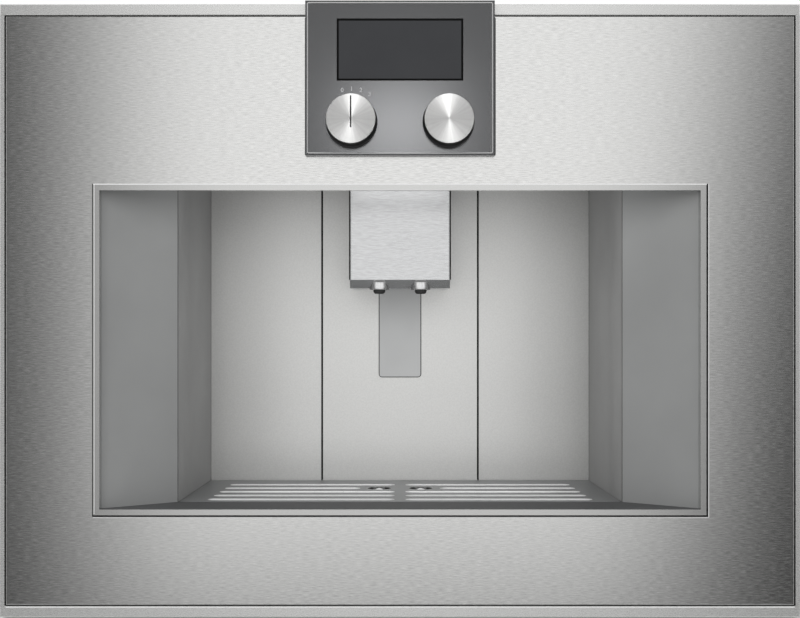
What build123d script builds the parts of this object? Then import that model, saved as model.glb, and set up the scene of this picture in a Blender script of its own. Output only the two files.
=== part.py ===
from build123d import *
import os

# A built-in coffee machine, in millimetres: X across, Y to the rear, Z up. The origin lies on the
# base plane, in the middle of the whole outline. Every depth is counted to the rear from the face
# of the front sheet, and every height from the base plane.

# ------------------------------------------------------------------ driving sizes: front and door
front_width = 590.0
front_height = 452.0
front_floor = 2.0  # lower edge of the front above the base plane
rail_height = 8.0
rail_wall = 1.5
rail_chamfer = 0.6
side_rail_width = 3.2
side_rail_wall = 1.2
sheet_gap = 1.0  # open joint between the rails and the front sheet
sheet_wall = 1.0
sheet_return = 6.0
sheet_edge_radius = 0.6
door_depth = 45.0
door_gap = 2.0  # closed door to body
slip = 0.3  # gap round a piece that drops into an opening
fit = 0.05  # radial running fit of a shaft in its bore

# The opening in the front and the funnel behind it
mouth_margin = 73.4  # front's side to the opening
mouth_drop = 137.3  # front's top to the opening
mouth_floor = 81.4
trim_width = 4.8
trim_proud = 1.2
trim_wall = 1.2
trim_depth = 8.0
trim_chamfer = 0.4
funnel_side = 51.5  # how far each side of the funnel comes in
throat_rise = 6.0  # the funnel's ceiling climbs this much to the rear
liner_wall = 2.5
liner_rim_inset = 12.0
rib_wall = 2.0
rib_height = 22.0
boss_radius = 6.0
liner_screw_radius = 2.0
liner_screw_head = 4.0
liner_screw_length = 24.0
magnet_height = 30.0
magnet_width = 12.0
magnet_inset = 20.0
catch_margin = 6.0  # catch plate above and below its magnet
magnet_end_height = 90.0  # magnet centres from the body's floor and top

# Hinge: a fixed arm, a pin and a flanged bush in each rail
pivot_inset = 8.0
pivot_depth = 15.0
arm_wall = 5.0
arm_gap = 2.5  # arm to rail
arm_nose_radius = 6.0
arm_width = 8.0
leaf_wall = 4.0
leaf_height = 40.0
leaf_depth = 40.0
pin_radius = 2.5
pin_reach = 7.5
bush_radius = 4.5
bush_flange_radius = 6.5
bush_flange = 0.9
bush_length = 6.0
swing_clearance = 7.0  # round the arm inside the door

# Control unit
control_width = 139.0
control_height = 113.5
control_rise = 1.4  # its top above the front's top
control_proud = 8.0
control_wall = 2.0
control_face = 2.5
control_chamfer = 0.8
window_width = 92.8
window_height = 45.6
window_drop = 13.3  # window top below the control unit's top
gasket_width = 1.5
gasket_lip = 0.1
glass_recess = 0.4
housing_width = 120.0
housing_height = 93.0
housing_depth = 32.0
housing_wall = 2.0
housing_flange = 4.0
housing_flange_wall = 1.5
board_wall = 1.6
board_depth = 4.0
board_inset = 2.0
screen_margin = 2.0
post_radius = 3.0
post_inset = 12.0  # mounting posts inside the edges of what they carry

# Knobs
knob_spacing = 71.0
knob_drop = 89.0  # knob axis below the control unit's top
knob_radius = 18.0
knob_length = 18.0
knob_wall = 2.0
knob_cap_wall = 3.5
knob_plug_radius = 9.0
knob_plug_length = 2.0
knob_ribs = 6
knob_rib_wall = 1.0
knob_rib_drop = 2.0  # ribs below the body's rear rim
knob_chamfer = 0.6
knob_gap = 0.5
hub_radius = 5.5
shaft_radius = 3.0
collar_radius = 19.0
collar_length = 3.5
collar_chamfer = 0.6
encoder_width = 15.0
pointer_width = 0.8
pointer_above = 16.5
pointer_below = 6.4
pointer_depth = 0.5

# ------------------------------------------------------------------ driving sizes: body and niche
body_inset = 18.0  # body side inside the front's side
body_depth = 476.0
body_top_gap = 8.0  # body top below the front's top
foot_height = 8.0
foot_radius = 15.0
foot_inset = 45.0
case_wall = 1.0
pan_wall = 1.2
pan_lip = 12.0
case_lip = 12.0
bulkhead_wall = 3.0
frame_wall = 1.5
frame_gap = 32.0  # niche back to the inner frame
frame_window_width = 60.0
frame_window_height = 42.0
niche_depth = 161.0
niche_narrowing = 6.7  # how far each niche wall comes in to the rear
ceiling_lift = 17.3  # niche ceiling above the mouth
ceiling_wall = 3.0
niche_wall = 1.5
niche_skirt = 5.4  # how far the niche walls reach below the grid
panel_wall = 1.2
carrier_wall = 5.0
centre_panel_width = 133.4
panel_joint = 1.4
guide_width = 35.4
guide_drop = 145.9  # guide plate's lower end below the opening's top
guide_proud = 1.0
guide_radius = 2.3
lamp_radius = 8.0
lamp_pair_width = 180.0
lamp_depth = 100.0
lamp_proud = 1.2

# Spout
spout_width = 82.0
spout_depth = 74.0
spout_drop = 70.4  # spout cover's floor below the opening's top
spout_chamfer = 6.8
spout_wall = 1.2
spout_edge_radius = 1.2
spout_back_gap = 2.0
spout_headroom = 25.0  # spout cover's top below the body's top
core_height = 40.0
core_lift = 8.5
nozzle_spacing = 34.0
nozzle_setback = 8.0  # nozzle axis behind the spout's face
nozzle_radius = 5.1
nozzle_bore = 2.0
nozzle_drop = 1.3  # steel tube below the spout's floor
nozzle_tip_radius = 4.9
nozzle_tip_length = 2.8
nozzle_tip_round = 1.0
sleeve_radius = 7.8
sleeve_drop = 1.3  # its slanted end below the spout's floor
carriage_wall = 10.0
carriage_width = 120.0
carriage_depth = 52.0
rod_radius = 3.0
rod_spacing = 104.0
rod_setback = 16.0
bridge_wall = 1.5
bridge_gap = 3.0
ceiling_slot_gap = 1.0

# Drip tray
tray_side_gap = 10.1  # drip tray inside the niche wall
tray_floor = 25.0
tray_wall = 2.0
tray_corner = 8.0
grid_wall = 2.0
grid_rim = 3.4
grid_gap = 0.5  # grid to niche wall
grid_margin = 2.0  # grid to the niche's front and back
grid_corner = 1.5
first_slot = 14.5  # first slot behind the grid's front edge
slot_width = 11.0
slot_pitch = 26.5
slot_side_gap = 20.8  # first slot's end inside the niche wall
slot_step = 1.65  # each row is this much shorter than the one in front
slot_inner = 4.3
slots_before_drain = 3
drain_radius = 10.45
drain_land = 5.3  # drain hole to the slot beside it
cup_wall = 1.0
cup_depth = 7.0
cup_outlet = 3.0
shelf_wall = 2.7
shelf_clearance = 0.3
shelf_rib = 6.0

# Bays beside the niche
bay_gap = 5.9
rack_wall = 1.5
bay_clearance = 2.0
bay_front_gap = 2.0
bay_rear_gap = 8.0
box_wall = 2.0
box_corner = 6.0
door_side_clearance = 40.0  # left containers to the hinge pivot
grounds_floor = 30.0
grounds_height = 65.0
brew_height = 200.0
brew_lift = 5.0  # brew unit above the grounds container
bean_lift = 15.0  # bean shelf above the brew unit
inlet_block_height = 38.0
inlet_block_depth = 12.0
bay_headroom = 27.0
lid_wall = 2.0
lid_skirt = 5.0
grip_width = 40.0
grip_height = 14.0
grip_depth = 9.0
tank_width = 84.0
tank_floor = 115.0
tank_height = 205.0
tank_wall = 2.4
tank_headroom = 28.0
tank_valve_radius = 9.0
tank_valve_height = 12.0
tank_valve_inset = 27.0  # valve axis in front of the tank's back

# Grinder and brew unit
grinder_radius = 31.0
grinder_wall = 3.0
grinder_back_gap = 4.0  # grinder to the inner frame
throat_radius = 16.0
throat_height = 26.0
chamber_height = 52.0
chute_width = 11.0
chute_height = 8.0
motor_height = 80.0
motor_radius = 27.0
motor_bracket_width = 27.0
motor_bracket_height = 40.0
ring_outer_radius = 26.0
ring_inner_radius = 19.5
burr_height = 20.0
cone_top_radius = 9.0
cone_base_radius = 18.0
cone_teeth = 12
tooth_width = 2.4
tooth_depth = 1.5
ring_teeth = 18
spindle_radius = 4.0
spindle_reach = 12.0  # into the motor
brew_wall = 3.0
brew_bore = 22.5
brew_cylinder_wall = 4.0
brew_cylinder_height = 70.0
brew_piston_height = 16.0
brew_piston_gap = 0.3
brew_rod_radius = 6.0
brew_sleeve_radius = 10.0
brew_sleeve_length = 30.0
brew_arm_width = 11.0
cover_wall = 2.0

# Water path and electrics
pump_radius = 25.0
pump_length = 120.0
pump_height = 60.0
pump_depth = 80.0
pump_neck_radius = 9.0
pump_neck_length = 12.0
pump_foot_length = 12.0
pump_foot_inset = 24.0
hose_radius = 4.0
hose_bend = 24.0
heater_width = 120.0
heater_height = 130.0
heater_depth = 50.0
heater_floor = 170.0
heater_standoff = 14.0
heater_fins = 7
fin_width = 5.0
fin_depth = 7.0
power_board_width = 240.0
power_board_height = 180.0
power_board_floor = 196.0
power_board_standoff = 18.0
relay_width = 30.0
relay_height = 28.0
relay_depth = 15.0
relay_spacing = 55.0
inlet_width = 28.0
inlet_height = 21.0
inlet_cavity = 15.0
inlet_flange = 8.0
inlet_pin_width = 4.0
inlet_pin_wall = 2.0
inlet_pin_spacing = 14.0
inlet_offset = 200.0
inlet_centre = 45.0
fixing_radius = 2.25
fixing_spacing = 260.0
fixing_depth = 18.0  # fixing holes behind the body's front
vent_length = 60.0
vent_height = 4.0
vent_spacing = 84.0
vent_pitch = 20.0
top_screw_spacing = 190.0

# ------------------------------------------------------------------ places worked out from them
front_half = front_width / 2
front_top = front_floor + front_height
front_middle = front_floor + front_height / 2
knob_reach = control_proud + collar_length + knob_gap + knob_length
body_front = door_depth + door_gap
body_rear = body_front + body_depth
front_y = (knob_reach - body_rear) / 2

sheet_half = front_half - side_rail_width - sheet_gap
sheet_floor = front_floor + rail_height + sheet_gap
sheet_top = front_top - rail_height - sheet_gap

mouth_half = front_half - mouth_margin
mouth_top = front_top - mouth_drop
throat_half = mouth_half - funnel_side
throat_top = mouth_top + throat_rise

pivot_x = -(front_half - pivot_inset)
arm_top = front_top - rail_height - arm_gap
arm_floor = arm_top - arm_wall
body_half = front_half - body_inset
case_half = body_half - case_wall
arm_root = -case_half + 2 * case_wall
pocket_edge = arm_root + arm_width + swing_clearance

control_half = control_width / 2
control_top = front_top + control_rise
control_floor = control_top - control_height
window_top = control_top - window_drop
window_floor = window_top - window_height
housing_half = housing_width / 2
housing_top = sheet_top - housing_wall
housing_floor = housing_top - housing_height
knob_x = knob_spacing / 2
knob_height = control_top - knob_drop
collar_face = -control_proud - collar_length
knob_back = collar_face - knob_gap
knob_front = knob_back - knob_length
cap_back = knob_front + knob_cap_wall
plug_back = cap_back + knob_plug_length
control_inside = control_face - control_proud

body_floor = foot_height
body_top = front_top - body_top_gap
niche_back = body_front + niche_depth
niche_outer = throat_half + niche_wall
niche_back_half = throat_half - niche_narrowing
ceiling_floor = mouth_top + ceiling_lift
ceiling_top = ceiling_floor + ceiling_wall
carrier_front = niche_back + panel_wall
carrier_back = carrier_front + carrier_wall
frame_front = niche_back + frame_gap
frame_back = frame_front + frame_wall
bay_front = body_front + bulkhead_wall

spout_half = spout_width / 2
spout_back = niche_back - spout_back_gap
spout_front = spout_back - spout_depth
spout_floor = mouth_top - spout_drop
spout_top = body_top - spout_headroom
nozzle_depth = spout_front + nozzle_setback
core_floor = spout_floor + core_lift

tray_half = throat_half - tray_side_gap
grid_front = body_front + grid_margin
grid_back = niche_back - grid_margin
grid_top = mouth_floor
grid_floor = grid_top - grid_rim
slot_half_length = throat_half - slot_side_gap
drain_depth = grid_front + first_slot + slots_before_drain * slot_pitch
shelf_top = tray_floor - shelf_clearance
shelf_floor = shelf_top - shelf_wall

bay_near = niche_outer + bay_gap
box_near = bay_near + rack_wall + bay_clearance
left_box_far = -pivot_x - door_side_clearance
left_bay_far = left_box_far + bay_clearance
right_box_far = box_near + tank_width
right_bay_far = right_box_far + bay_clearance
box_front = bay_front + bay_front_gap
box_back = frame_front - bay_rear_gap
grounds_top = grounds_floor + grounds_height
brew_floor = grounds_top + brew_lift
brew_top = brew_floor + brew_height
throat_end = brew_top + bean_lift
bean_shelf_top = throat_end + shelf_wall
bean_floor = bean_shelf_top + shelf_clearance
bean_top = body_top - bay_headroom
grinder_x = -(box_near + left_box_far) / 2
grinder_depth = frame_front - grinder_back_gap - grinder_radius
chamber_top = throat_end - throat_height
chamber_floor = chamber_top - chamber_height
motor_floor = chamber_floor - motor_height
brew_back = grinder_depth - grinder_radius - bay_rear_gap
brew_depth = (box_front + brew_back) / 2
tank_top = tank_floor + tank_height
tank_x = (box_near + right_box_far) / 2
valve_depth = box_back - tank_valve_inset


# ------------------------------------------------------------------ drawing planes and helpers
def front_plane(depth):
    """Upright plane facing the user: local x is X, local y is Z, and it extrudes to the front."""
    return Plane(origin=(0, front_y + depth, 0), x_dir=(1, 0, 0), z_dir=(0, -1, 0))


def level_plane(height):
    """Level plane: local x is X, local y is the depth, and it extrudes upwards."""
    return Plane(origin=(0, front_y, height), x_dir=(1, 0, 0), z_dir=(0, 0, 1))


def side_plane(across):
    """Upright plane across X: local x is the depth, local y is Z, and it extrudes to the right."""
    return Plane(origin=(across, front_y, 0), x_dir=(0, 1, 0), z_dir=(1, 0, 0))


def area(left, right, low, high, mode=Mode.ADD):
    """A rectangle between four edges of the sketch's plane."""
    with Locations(((left + right) / 2, (low + high) / 2)):
        Rectangle(right - left, high - low, mode=mode)


def frame_area(half, low, high, inset):
    """A rectangular ring, symmetric about x = 0, as wide as inset all round."""
    area(-half, half, low, high)
    area(inset - half, half - inset, low + inset, high - inset, mode=Mode.SUBTRACT)


def notch(left, right, front, back, low, high):
    """Cuts the space between six faces out of the part."""
    with Locations(((left + right) / 2, front_y + (front + back) / 2, (low + high) / 2)):
        Box(right - left, back - front, high - low, mode=Mode.SUBTRACT)


def hinge_pockets():
    """Cuts the room that the two fixed arms sweep inside the door's hinge side."""
    pocket_floor = arm_floor - arm_gap
    for low, high in (
        (pocket_floor, front_top - rail_height + slip),
        (front_floor + rail_height - slip, 2 * front_middle - pocket_floor),
    ):
        notch(-front_half - slip, pocket_edge, sheet_return + slip, body_front, low, high)


os.makedirs("parts", exist_ok=True)

# ------------------------------------------------------------------ door: front sheet and rails
with BuildPart() as front_panel:
    with BuildSketch(front_plane(0)):
        area(-sheet_half, sheet_half, sheet_floor, sheet_top)
    extrude(amount=-sheet_return)
    fillet(front_panel.faces().sort_by(Axis.Y)[0].edges(), radius=sheet_edge_radius)
    with BuildSketch(front_plane(sheet_wall)):
        area(
            sheet_wall - sheet_half,
            sheet_half - sheet_wall,
            sheet_floor + sheet_wall,
            sheet_top - sheet_wall,
        )
    extrude(amount=-sheet_return, mode=Mode.SUBTRACT)
    collar_gap = trim_wall + slip
    with BuildSketch(front_plane(0)):
        area(
            -mouth_half - collar_gap,
            mouth_half + collar_gap,
            mouth_floor - collar_gap,
            mouth_top + collar_gap,
        )
        area(
            -housing_half - slip,
            housing_half + slip,
            housing_floor - slip,
            housing_top + slip,
        )
    extrude(amount=-sheet_wall, mode=Mode.SUBTRACT)
front_panel.part.label = "front_panel"
export_step(front_panel.part, "parts/front_panel.step")


def channel_rail(low, high, inner_face):
    """A rail folded to a channel that is open to the rear, with the hinge bush's hole."""
    with BuildPart() as rail:
        with BuildSketch(front_plane(0)):
            area(-front_half, front_half, low, high)
        extrude(amount=-door_depth)
        chamfer(rail.faces().sort_by(Axis.Y)[0].edges(), length=rail_chamfer)
        with BuildSketch(front_plane(rail_wall)):
            area(
                rail_wall - front_half,
                front_half - rail_wall,
                low + rail_wall,
                high - rail_wall,
            )
        extrude(amount=-door_depth, mode=Mode.SUBTRACT)
        with BuildSketch(level_plane(inner_face)):
            with Locations((pivot_x, pivot_depth)):
                Circle(bush_radius)
        extrude(amount=rail_wall, both=True, mode=Mode.SUBTRACT)
    return rail


top_rail = channel_rail(front_top - rail_height, front_top, front_top - rail_height)
bottom_rail = channel_rail(front_floor, front_floor + rail_height, front_floor + rail_height)

with BuildPart() as side_rails:
    with BuildSketch(level_plane(front_floor + rail_height)):
        for side in (-1, 1):
            edge = side * front_half
            inner_lip = side * (front_half - side_rail_width)
            inner_wall = side * (front_half - side_rail_wall)
            area(min(edge, inner_lip), max(edge, inner_lip), 0, side_rail_wall)
            area(min(edge, inner_wall), max(edge, inner_wall), 0, door_depth)
    extrude(amount=front_height - 2 * rail_height)
    hinge_pockets()
door_rails = Compound(children=[top_rail.part, bottom_rail.part, side_rails.part])
door_rails.label = "door_rails"
export_step(door_rails, "parts/door_rails.step")

with BuildPart() as hinge_bushes:
    with BuildSketch(level_plane(front_top - rail_height - bush_flange)):
        with Locations((pivot_x, pivot_depth)):
            Circle(bush_flange_radius)
    extrude(amount=bush_flange)
    with BuildSketch(level_plane(front_top - rail_height)):
        with Locations((pivot_x, pivot_depth)):
            Circle(bush_radius)
    extrude(amount=bush_length)
    with BuildSketch(level_plane(front_top - rail_height - bush_flange)):
        with Locations((pivot_x, pivot_depth)):
            Circle(pin_radius + fit)
    extrude(amount=bush_flange + bush_length, mode=Mode.SUBTRACT)
    mirror(about=Plane.XY.offset(front_middle))
hinge_bushes.part.label = "hinge_bushes"
export_step(hinge_bushes.part, "parts/hinge_bushes.step")

# ------------------------------------------------------------------ door: niche trim and liner
with BuildPart() as niche_trim:
    with BuildSketch(front_plane(0)):
        area(
            -mouth_half - trim_width,
            mouth_half + trim_width,
            mouth_floor - trim_width,
            mouth_top + trim_width,
        )
    extrude(amount=trim_proud)
    chamfer(niche_trim.faces().sort_by(Axis.Y)[0].edges(), length=trim_chamfer)
    with BuildSketch(front_plane(0)):
        area(
            -mouth_half - trim_wall,
            mouth_half + trim_wall,
            mouth_floor - trim_wall,
            mouth_top + trim_wall,
        )
    extrude(amount=-trim_depth)
    with BuildSketch(front_plane(-trim_proud)):
        area(-mouth_half, mouth_half, mouth_floor, mouth_top)
    extrude(amount=-trim_proud - trim_depth, mode=Mode.SUBTRACT)
niche_trim.part.label = "niche_trim"
export_step(niche_trim.part, "parts/niche_trim.step")

liner_half = front_half - side_rail_wall - slip
liner_floor = front_floor + rail_height + slip
liner_top = front_top - rail_height - slip
liner_front = door_depth - liner_wall
rib_column = (mouth_half + trim_width + sheet_half) / 2
rib_top = (throat_top + liner_wall + housing_floor) / 2
rib_foot = (mouth_floor + sheet_floor) / 2
boss_heights = (rib_foot, (rib_foot + rib_top) / 2, rib_top)
boss_places = [(side * rib_column, height) for side in (-1, 1) for height in boss_heights]
magnet_x = front_half - magnet_inset
magnet_heights = (body_floor + magnet_end_height, body_top - magnet_end_height)

with BuildPart() as door_liner:
    with BuildSketch(front_plane(door_depth)):
        area(-liner_half, liner_half, liner_floor, liner_top)
    extrude(amount=liner_wall)
    with BuildSketch(front_plane(liner_front)):
        frame_area(
            sheet_half - liner_rim_inset,
            sheet_floor + liner_rim_inset,
            sheet_top - liner_rim_inset,
            rib_wall,
        )
    extrude(amount=liner_front - sheet_wall)
    with BuildSketch(front_plane(liner_front)):
        for column in (-rib_column, rib_column):
            with Locations((column, front_middle)):
                Rectangle(rib_wall, sheet_top - sheet_floor - 2 * liner_rim_inset)
        for row in (rib_foot, rib_top):
            with Locations((0, row)):
                Rectangle(2 * (sheet_half - liner_rim_inset), rib_wall)
    extrude(amount=rib_height)
    with BuildSketch(front_plane(liner_front)):
        with Locations(boss_places):
            Circle(boss_radius)
    extrude(amount=liner_front - sheet_wall)
    with BuildSketch(front_plane(trim_depth)):
        area(
            -mouth_half - liner_wall,
            mouth_half + liner_wall,
            mouth_floor - liner_wall,
            mouth_top + liner_wall,
        )
    with BuildSketch(front_plane(door_depth)):
        area(
            -throat_half - liner_wall,
            throat_half + liner_wall,
            mouth_floor - liner_wall,
            throat_top + liner_wall,
        )
    loft(ruled=True)
    with BuildSketch(front_plane(trim_depth)):
        area(-mouth_half, mouth_half, mouth_floor, mouth_top)
    with BuildSketch(front_plane(door_depth)):
        area(-throat_half, throat_half, mouth_floor, throat_top)
    loft(ruled=True, mode=Mode.SUBTRACT)
    notch(
        -housing_half - housing_wall,
        housing_half + housing_wall,
        0,
        housing_depth + housing_wall,
        housing_floor - housing_wall,
        sheet_top,
    )
    hinge_pockets()
    with BuildSketch(front_plane(door_depth)):
        for height in magnet_heights:
            with Locations((magnet_x, height)):
                Rectangle(magnet_width, magnet_height)
    extrude(amount=liner_wall, mode=Mode.SUBTRACT)
    with Locations(front_plane(door_depth).rotated((180, 0, 0))):
        with Locations([(across, -height) for across, height in boss_places]):
            CounterSinkHole(
                radius=liner_screw_radius + fit,
                counter_sink_radius=liner_screw_head + fit,
                depth=liner_screw_length + slip,
            )
door_liner.part.label = "door_liner"
export_step(door_liner.part, "parts/door_liner.step")

with BuildPart() as door_magnets:
    with BuildSketch(front_plane(door_depth)):
        for height in magnet_heights:
            with Locations((magnet_x, height)):
                Rectangle(magnet_width, magnet_height)
    extrude(amount=liner_wall)
door_magnets.part.label = "door_magnets"
export_step(door_magnets.part, "parts/door_magnets.step")

with BuildPart() as door_screws:
    for across, height in boss_places:
        with BuildSketch(side_plane(across)):
            with BuildLine():
                Polyline(
                    (door_depth, height),
                    (door_depth, height + liner_screw_head),
                    (door_depth - liner_screw_radius, height + liner_screw_radius),
                    (door_depth - liner_screw_length, height + liner_screw_radius),
                    (door_depth - liner_screw_length, height),
                    close=True,
                )
            make_face()
        revolve(axis=Axis((across, 0, height), (0, 1, 0)))
door_screws.part.label = "door_screws"
export_step(door_screws.part, "parts/door_screws.step")

# ------------------------------------------------------------------ door: control unit
with BuildPart() as control_fascia:
    with BuildSketch(front_plane(0)):
        area(-control_half, control_half, control_floor, control_top)
    extrude(amount=control_proud)
    chamfer(control_fascia.faces().sort_by(Axis.Y)[0].edges(), length=control_chamfer)
    with BuildSketch(front_plane(0)):
        area(
            control_wall - control_half,
            control_half - control_wall,
            control_floor + control_wall,
            control_top - control_wall,
        )
    extrude(amount=-control_inside, mode=Mode.SUBTRACT)
    with BuildSketch(front_plane(-control_proud)):
        area(-window_width / 2, window_width / 2, window_floor, window_top)
        with Locations((-knob_x, knob_height), (knob_x, knob_height)):
            Circle(hub_radius)
    extrude(amount=-control_face, mode=Mode.SUBTRACT)
control_fascia.part.label = "control_fascia"
export_step(control_fascia.part, "parts/control_fascia.step")

with BuildPart() as display_gasket:
    with BuildSketch(front_plane(control_inside)):
        frame_area(window_width / 2, window_floor, window_top, gasket_width)
    extrude(amount=control_face - gasket_lip)
display_gasket.part.label = "display_gasket"
export_step(display_gasket.part, "parts/display_gasket.step")

with BuildPart() as display_glass:
    with BuildSketch(front_plane(control_inside)):
        area(
            gasket_width - window_width / 2,
            window_width / 2 - gasket_width,
            window_floor + gasket_width,
            window_top - gasket_width,
        )
    extrude(amount=control_face - glass_recess)
display_glass.part.label = "display_glass"
export_step(display_glass.part, "parts/display_glass.step")

housing_inner = housing_half - housing_wall
with BuildPart() as display_board:
    with BuildSketch(front_plane(board_depth)):
        area(
            board_inset - housing_inner,
            housing_inner - board_inset,
            housing_floor + housing_wall + board_inset,
            housing_top - housing_wall - board_inset,
        )
    extrude(amount=-board_wall)
    with BuildSketch(front_plane(board_depth)):
        area(
            -window_width / 2 - screen_margin,
            window_width / 2 + screen_margin,
            window_floor - screen_margin,
            housing_top - housing_wall - board_inset,
        )
    extrude(amount=board_depth - control_inside)
    with BuildSketch(front_plane(control_inside)):
        with Locations((-knob_x, knob_height), (knob_x, knob_height)):
            Rectangle(encoder_width, encoder_width)
    extrude(amount=control_inside - board_depth)
    with BuildSketch(front_plane(control_inside)):
        with Locations((-knob_x, knob_height), (knob_x, knob_height)):
            Circle(shaft_radius + fit)
    extrude(amount=control_inside - board_depth, mode=Mode.SUBTRACT)
display_board.part.label = "display_board"
export_step(display_board.part, "parts/display_board.step")

with BuildPart() as control_housing:
    with BuildSketch(front_plane(housing_depth)):
        area(-housing_half, housing_half, housing_floor, housing_top)
    extrude(amount=housing_depth)
    with BuildSketch(front_plane(0)):
        area(
            -housing_half - housing_flange,
            housing_half + housing_flange,
            housing_floor - housing_flange,
            housing_top + housing_wall,
        )
    extrude(amount=housing_flange_wall)
    with BuildSketch(front_plane(housing_depth - housing_wall)):
        area(
            -housing_inner,
            housing_inner,
            housing_floor + housing_wall,
            housing_top - housing_wall,
        )
    extrude(amount=housing_depth, mode=Mode.SUBTRACT)
    with BuildSketch(front_plane(housing_depth - housing_wall)):
        with Locations((0, (housing_floor + housing_top) / 2)):
            with GridLocations(housing_width - 2 * post_inset, housing_height - 2 * post_inset, 2, 2):
                Circle(post_radius)
    extrude(amount=housing_depth - housing_wall - board_depth - board_wall)
control_housing.part.label = "control_housing"
export_step(control_housing.part, "parts/control_housing.step")

with BuildPart() as knob_collars:
    with BuildSketch(front_plane(-control_proud)):
        with Locations((-knob_x, knob_height), (knob_x, knob_height)):
            Circle(collar_radius)
    extrude(amount=collar_length)
    chamfer(knob_collars.faces().sort_by(Axis.Y)[:2].edges(), length=collar_chamfer)
    with BuildSketch(front_plane(-control_proud)):
        with Locations((-knob_x, knob_height), (knob_x, knob_height)):
            Circle(hub_radius)
    extrude(amount=collar_length, mode=Mode.SUBTRACT)
knob_collars.part.label = "knob_collars"
export_step(knob_collars.part, "parts/knob_collars.step")


# ------------------------------------------------------------------ knobs
def knob_cap(centre):
    """The turned steel cap: a bevelled disc with a plug that is pressed into the body."""
    rim = knob_height + knob_radius
    with BuildPart() as cap:
        with BuildSketch(side_plane(centre)):
            with BuildLine():
                Polyline(
                    (knob_front, knob_height),
                    (knob_front, rim - knob_chamfer),
                    (knob_front + knob_chamfer, rim),
                    (cap_back, rim),
                    (cap_back, knob_height + knob_plug_radius),
                    (plug_back, knob_height + knob_plug_radius),
                    (plug_back, knob_height),
                    close=True,
                )
            make_face()
        revolve(axis=Axis((centre, 0, knob_height), (0, 1, 0)))
    return cap


def knob_body(centre):
    """The moulded body: a rim and a hub with ribs between them, hollow from behind."""
    rim = knob_height + knob_radius
    bore = shaft_radius + fit
    rib_root = (hub_radius + bore) / 2
    rib_end = knob_radius - knob_wall / 2
    with BuildPart() as body:
        with BuildSketch(side_plane(centre)):
            with BuildLine():
                Polyline(
                    (cap_back, knob_height + knob_plug_radius),
                    (cap_back, rim),
                    (knob_back - knob_chamfer, rim),
                    (knob_back, rim - knob_chamfer),
                    (knob_back, rim - knob_wall),
                    (plug_back + knob_wall, rim - knob_wall),
                    (plug_back + knob_wall, knob_height + hub_radius),
                    (knob_back - knob_chamfer, knob_height + hub_radius),
                    (knob_back - knob_chamfer, knob_height + bore),
                    (plug_back, knob_height + bore),
                    (plug_back, knob_height + knob_plug_radius),
                    close=True,
                )
            make_face()
        revolve(axis=Axis((centre, 0, knob_height), (0, 1, 0)))
        with BuildSketch(front_plane(plug_back + knob_wall)):
            with Locations((centre, knob_height)):
                with PolarLocations((rib_root + rib_end) / 2, knob_ribs):
                    Rectangle(rib_end - rib_root, knob_rib_wall)
        extrude(amount=plug_back + knob_wall - knob_back + knob_rib_drop)
    return body


def knob_shaft(centre):
    """The shaft from the bottom of the hub's bore into the encoder's bore."""
    with BuildPart() as shaft:
        with BuildSketch(front_plane(plug_back)):
            with Locations((centre, knob_height)):
                Circle(shaft_radius)
        extrude(amount=plug_back - board_depth + slip)
    return shaft


knob_left_cap = knob_cap(-knob_x)
with knob_left_cap:
    with BuildSketch(front_plane(knob_front)) as pointer:
        area(
            -knob_x - pointer_width / 2,
            -knob_x + pointer_width / 2,
            knob_height - pointer_below,
            knob_height + pointer_above,
        )
    extrude(pointer.sketch, amount=-pointer_depth, mode=Mode.SUBTRACT)
knob_left = Compound(children=[knob_left_cap.part, knob_body(-knob_x).part, knob_shaft(-knob_x).part])
knob_left.label = "knob_left"
export_step(knob_left, "parts/knob_left.step")

knob_right = Compound(children=[knob_cap(knob_x).part, knob_body(knob_x).part, knob_shaft(knob_x).part])
knob_right.label = "knob_right"
export_step(knob_right, "parts/knob_right.step")

# ------------------------------------------------------------------ body: casing
pan_floor_top = body_floor + pan_wall
with BuildPart() as base_pan:
    with BuildSketch(level_plane(body_floor)):
        area(-case_half, case_half, bay_front, body_rear - case_wall)
    extrude(amount=pan_lip)
    with BuildSketch(level_plane(pan_floor_top)):
        area(
            pan_wall - case_half,
            case_half - pan_wall,
            bay_front + pan_wall,
            body_rear - case_wall - pan_wall,
        )
    extrude(amount=pan_lip, mode=Mode.SUBTRACT)
    notch(
        -case_half,
        arm_root + arm_width + pan_wall,
        bay_front,
        bay_front + leaf_depth + pan_wall + slip,
        pan_floor_top,
        body_floor + pan_lip,
    )
    with BuildSketch(level_plane(body_floor)):
        with Locations((0, (frame_back + body_rear) / 2)):
            with GridLocations(vent_spacing, vent_pitch, 4, 5):
                SlotOverall(vent_length, vent_height)
    extrude(amount=pan_wall, mode=Mode.SUBTRACT)
base_pan.part.label = "base_pan"
export_step(base_pan.part, "parts/base_pan.step")

foot_across = body_half - foot_inset
with BuildPart() as feet:
    with BuildSketch(level_plane(0)):
        with Locations((0, (body_front + body_rear) / 2)):
            with GridLocations(2 * foot_across, body_depth - 2 * foot_inset, 2, 2):
                Circle(foot_radius)
    extrude(amount=foot_height)
    chamfer(feet.faces().filter_by(Axis.Z).sort_by(Axis.Z)[:4].edges(), length=collar_chamfer)
feet.part.label = "feet"
export_step(feet.part, "parts/feet.step")

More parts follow.
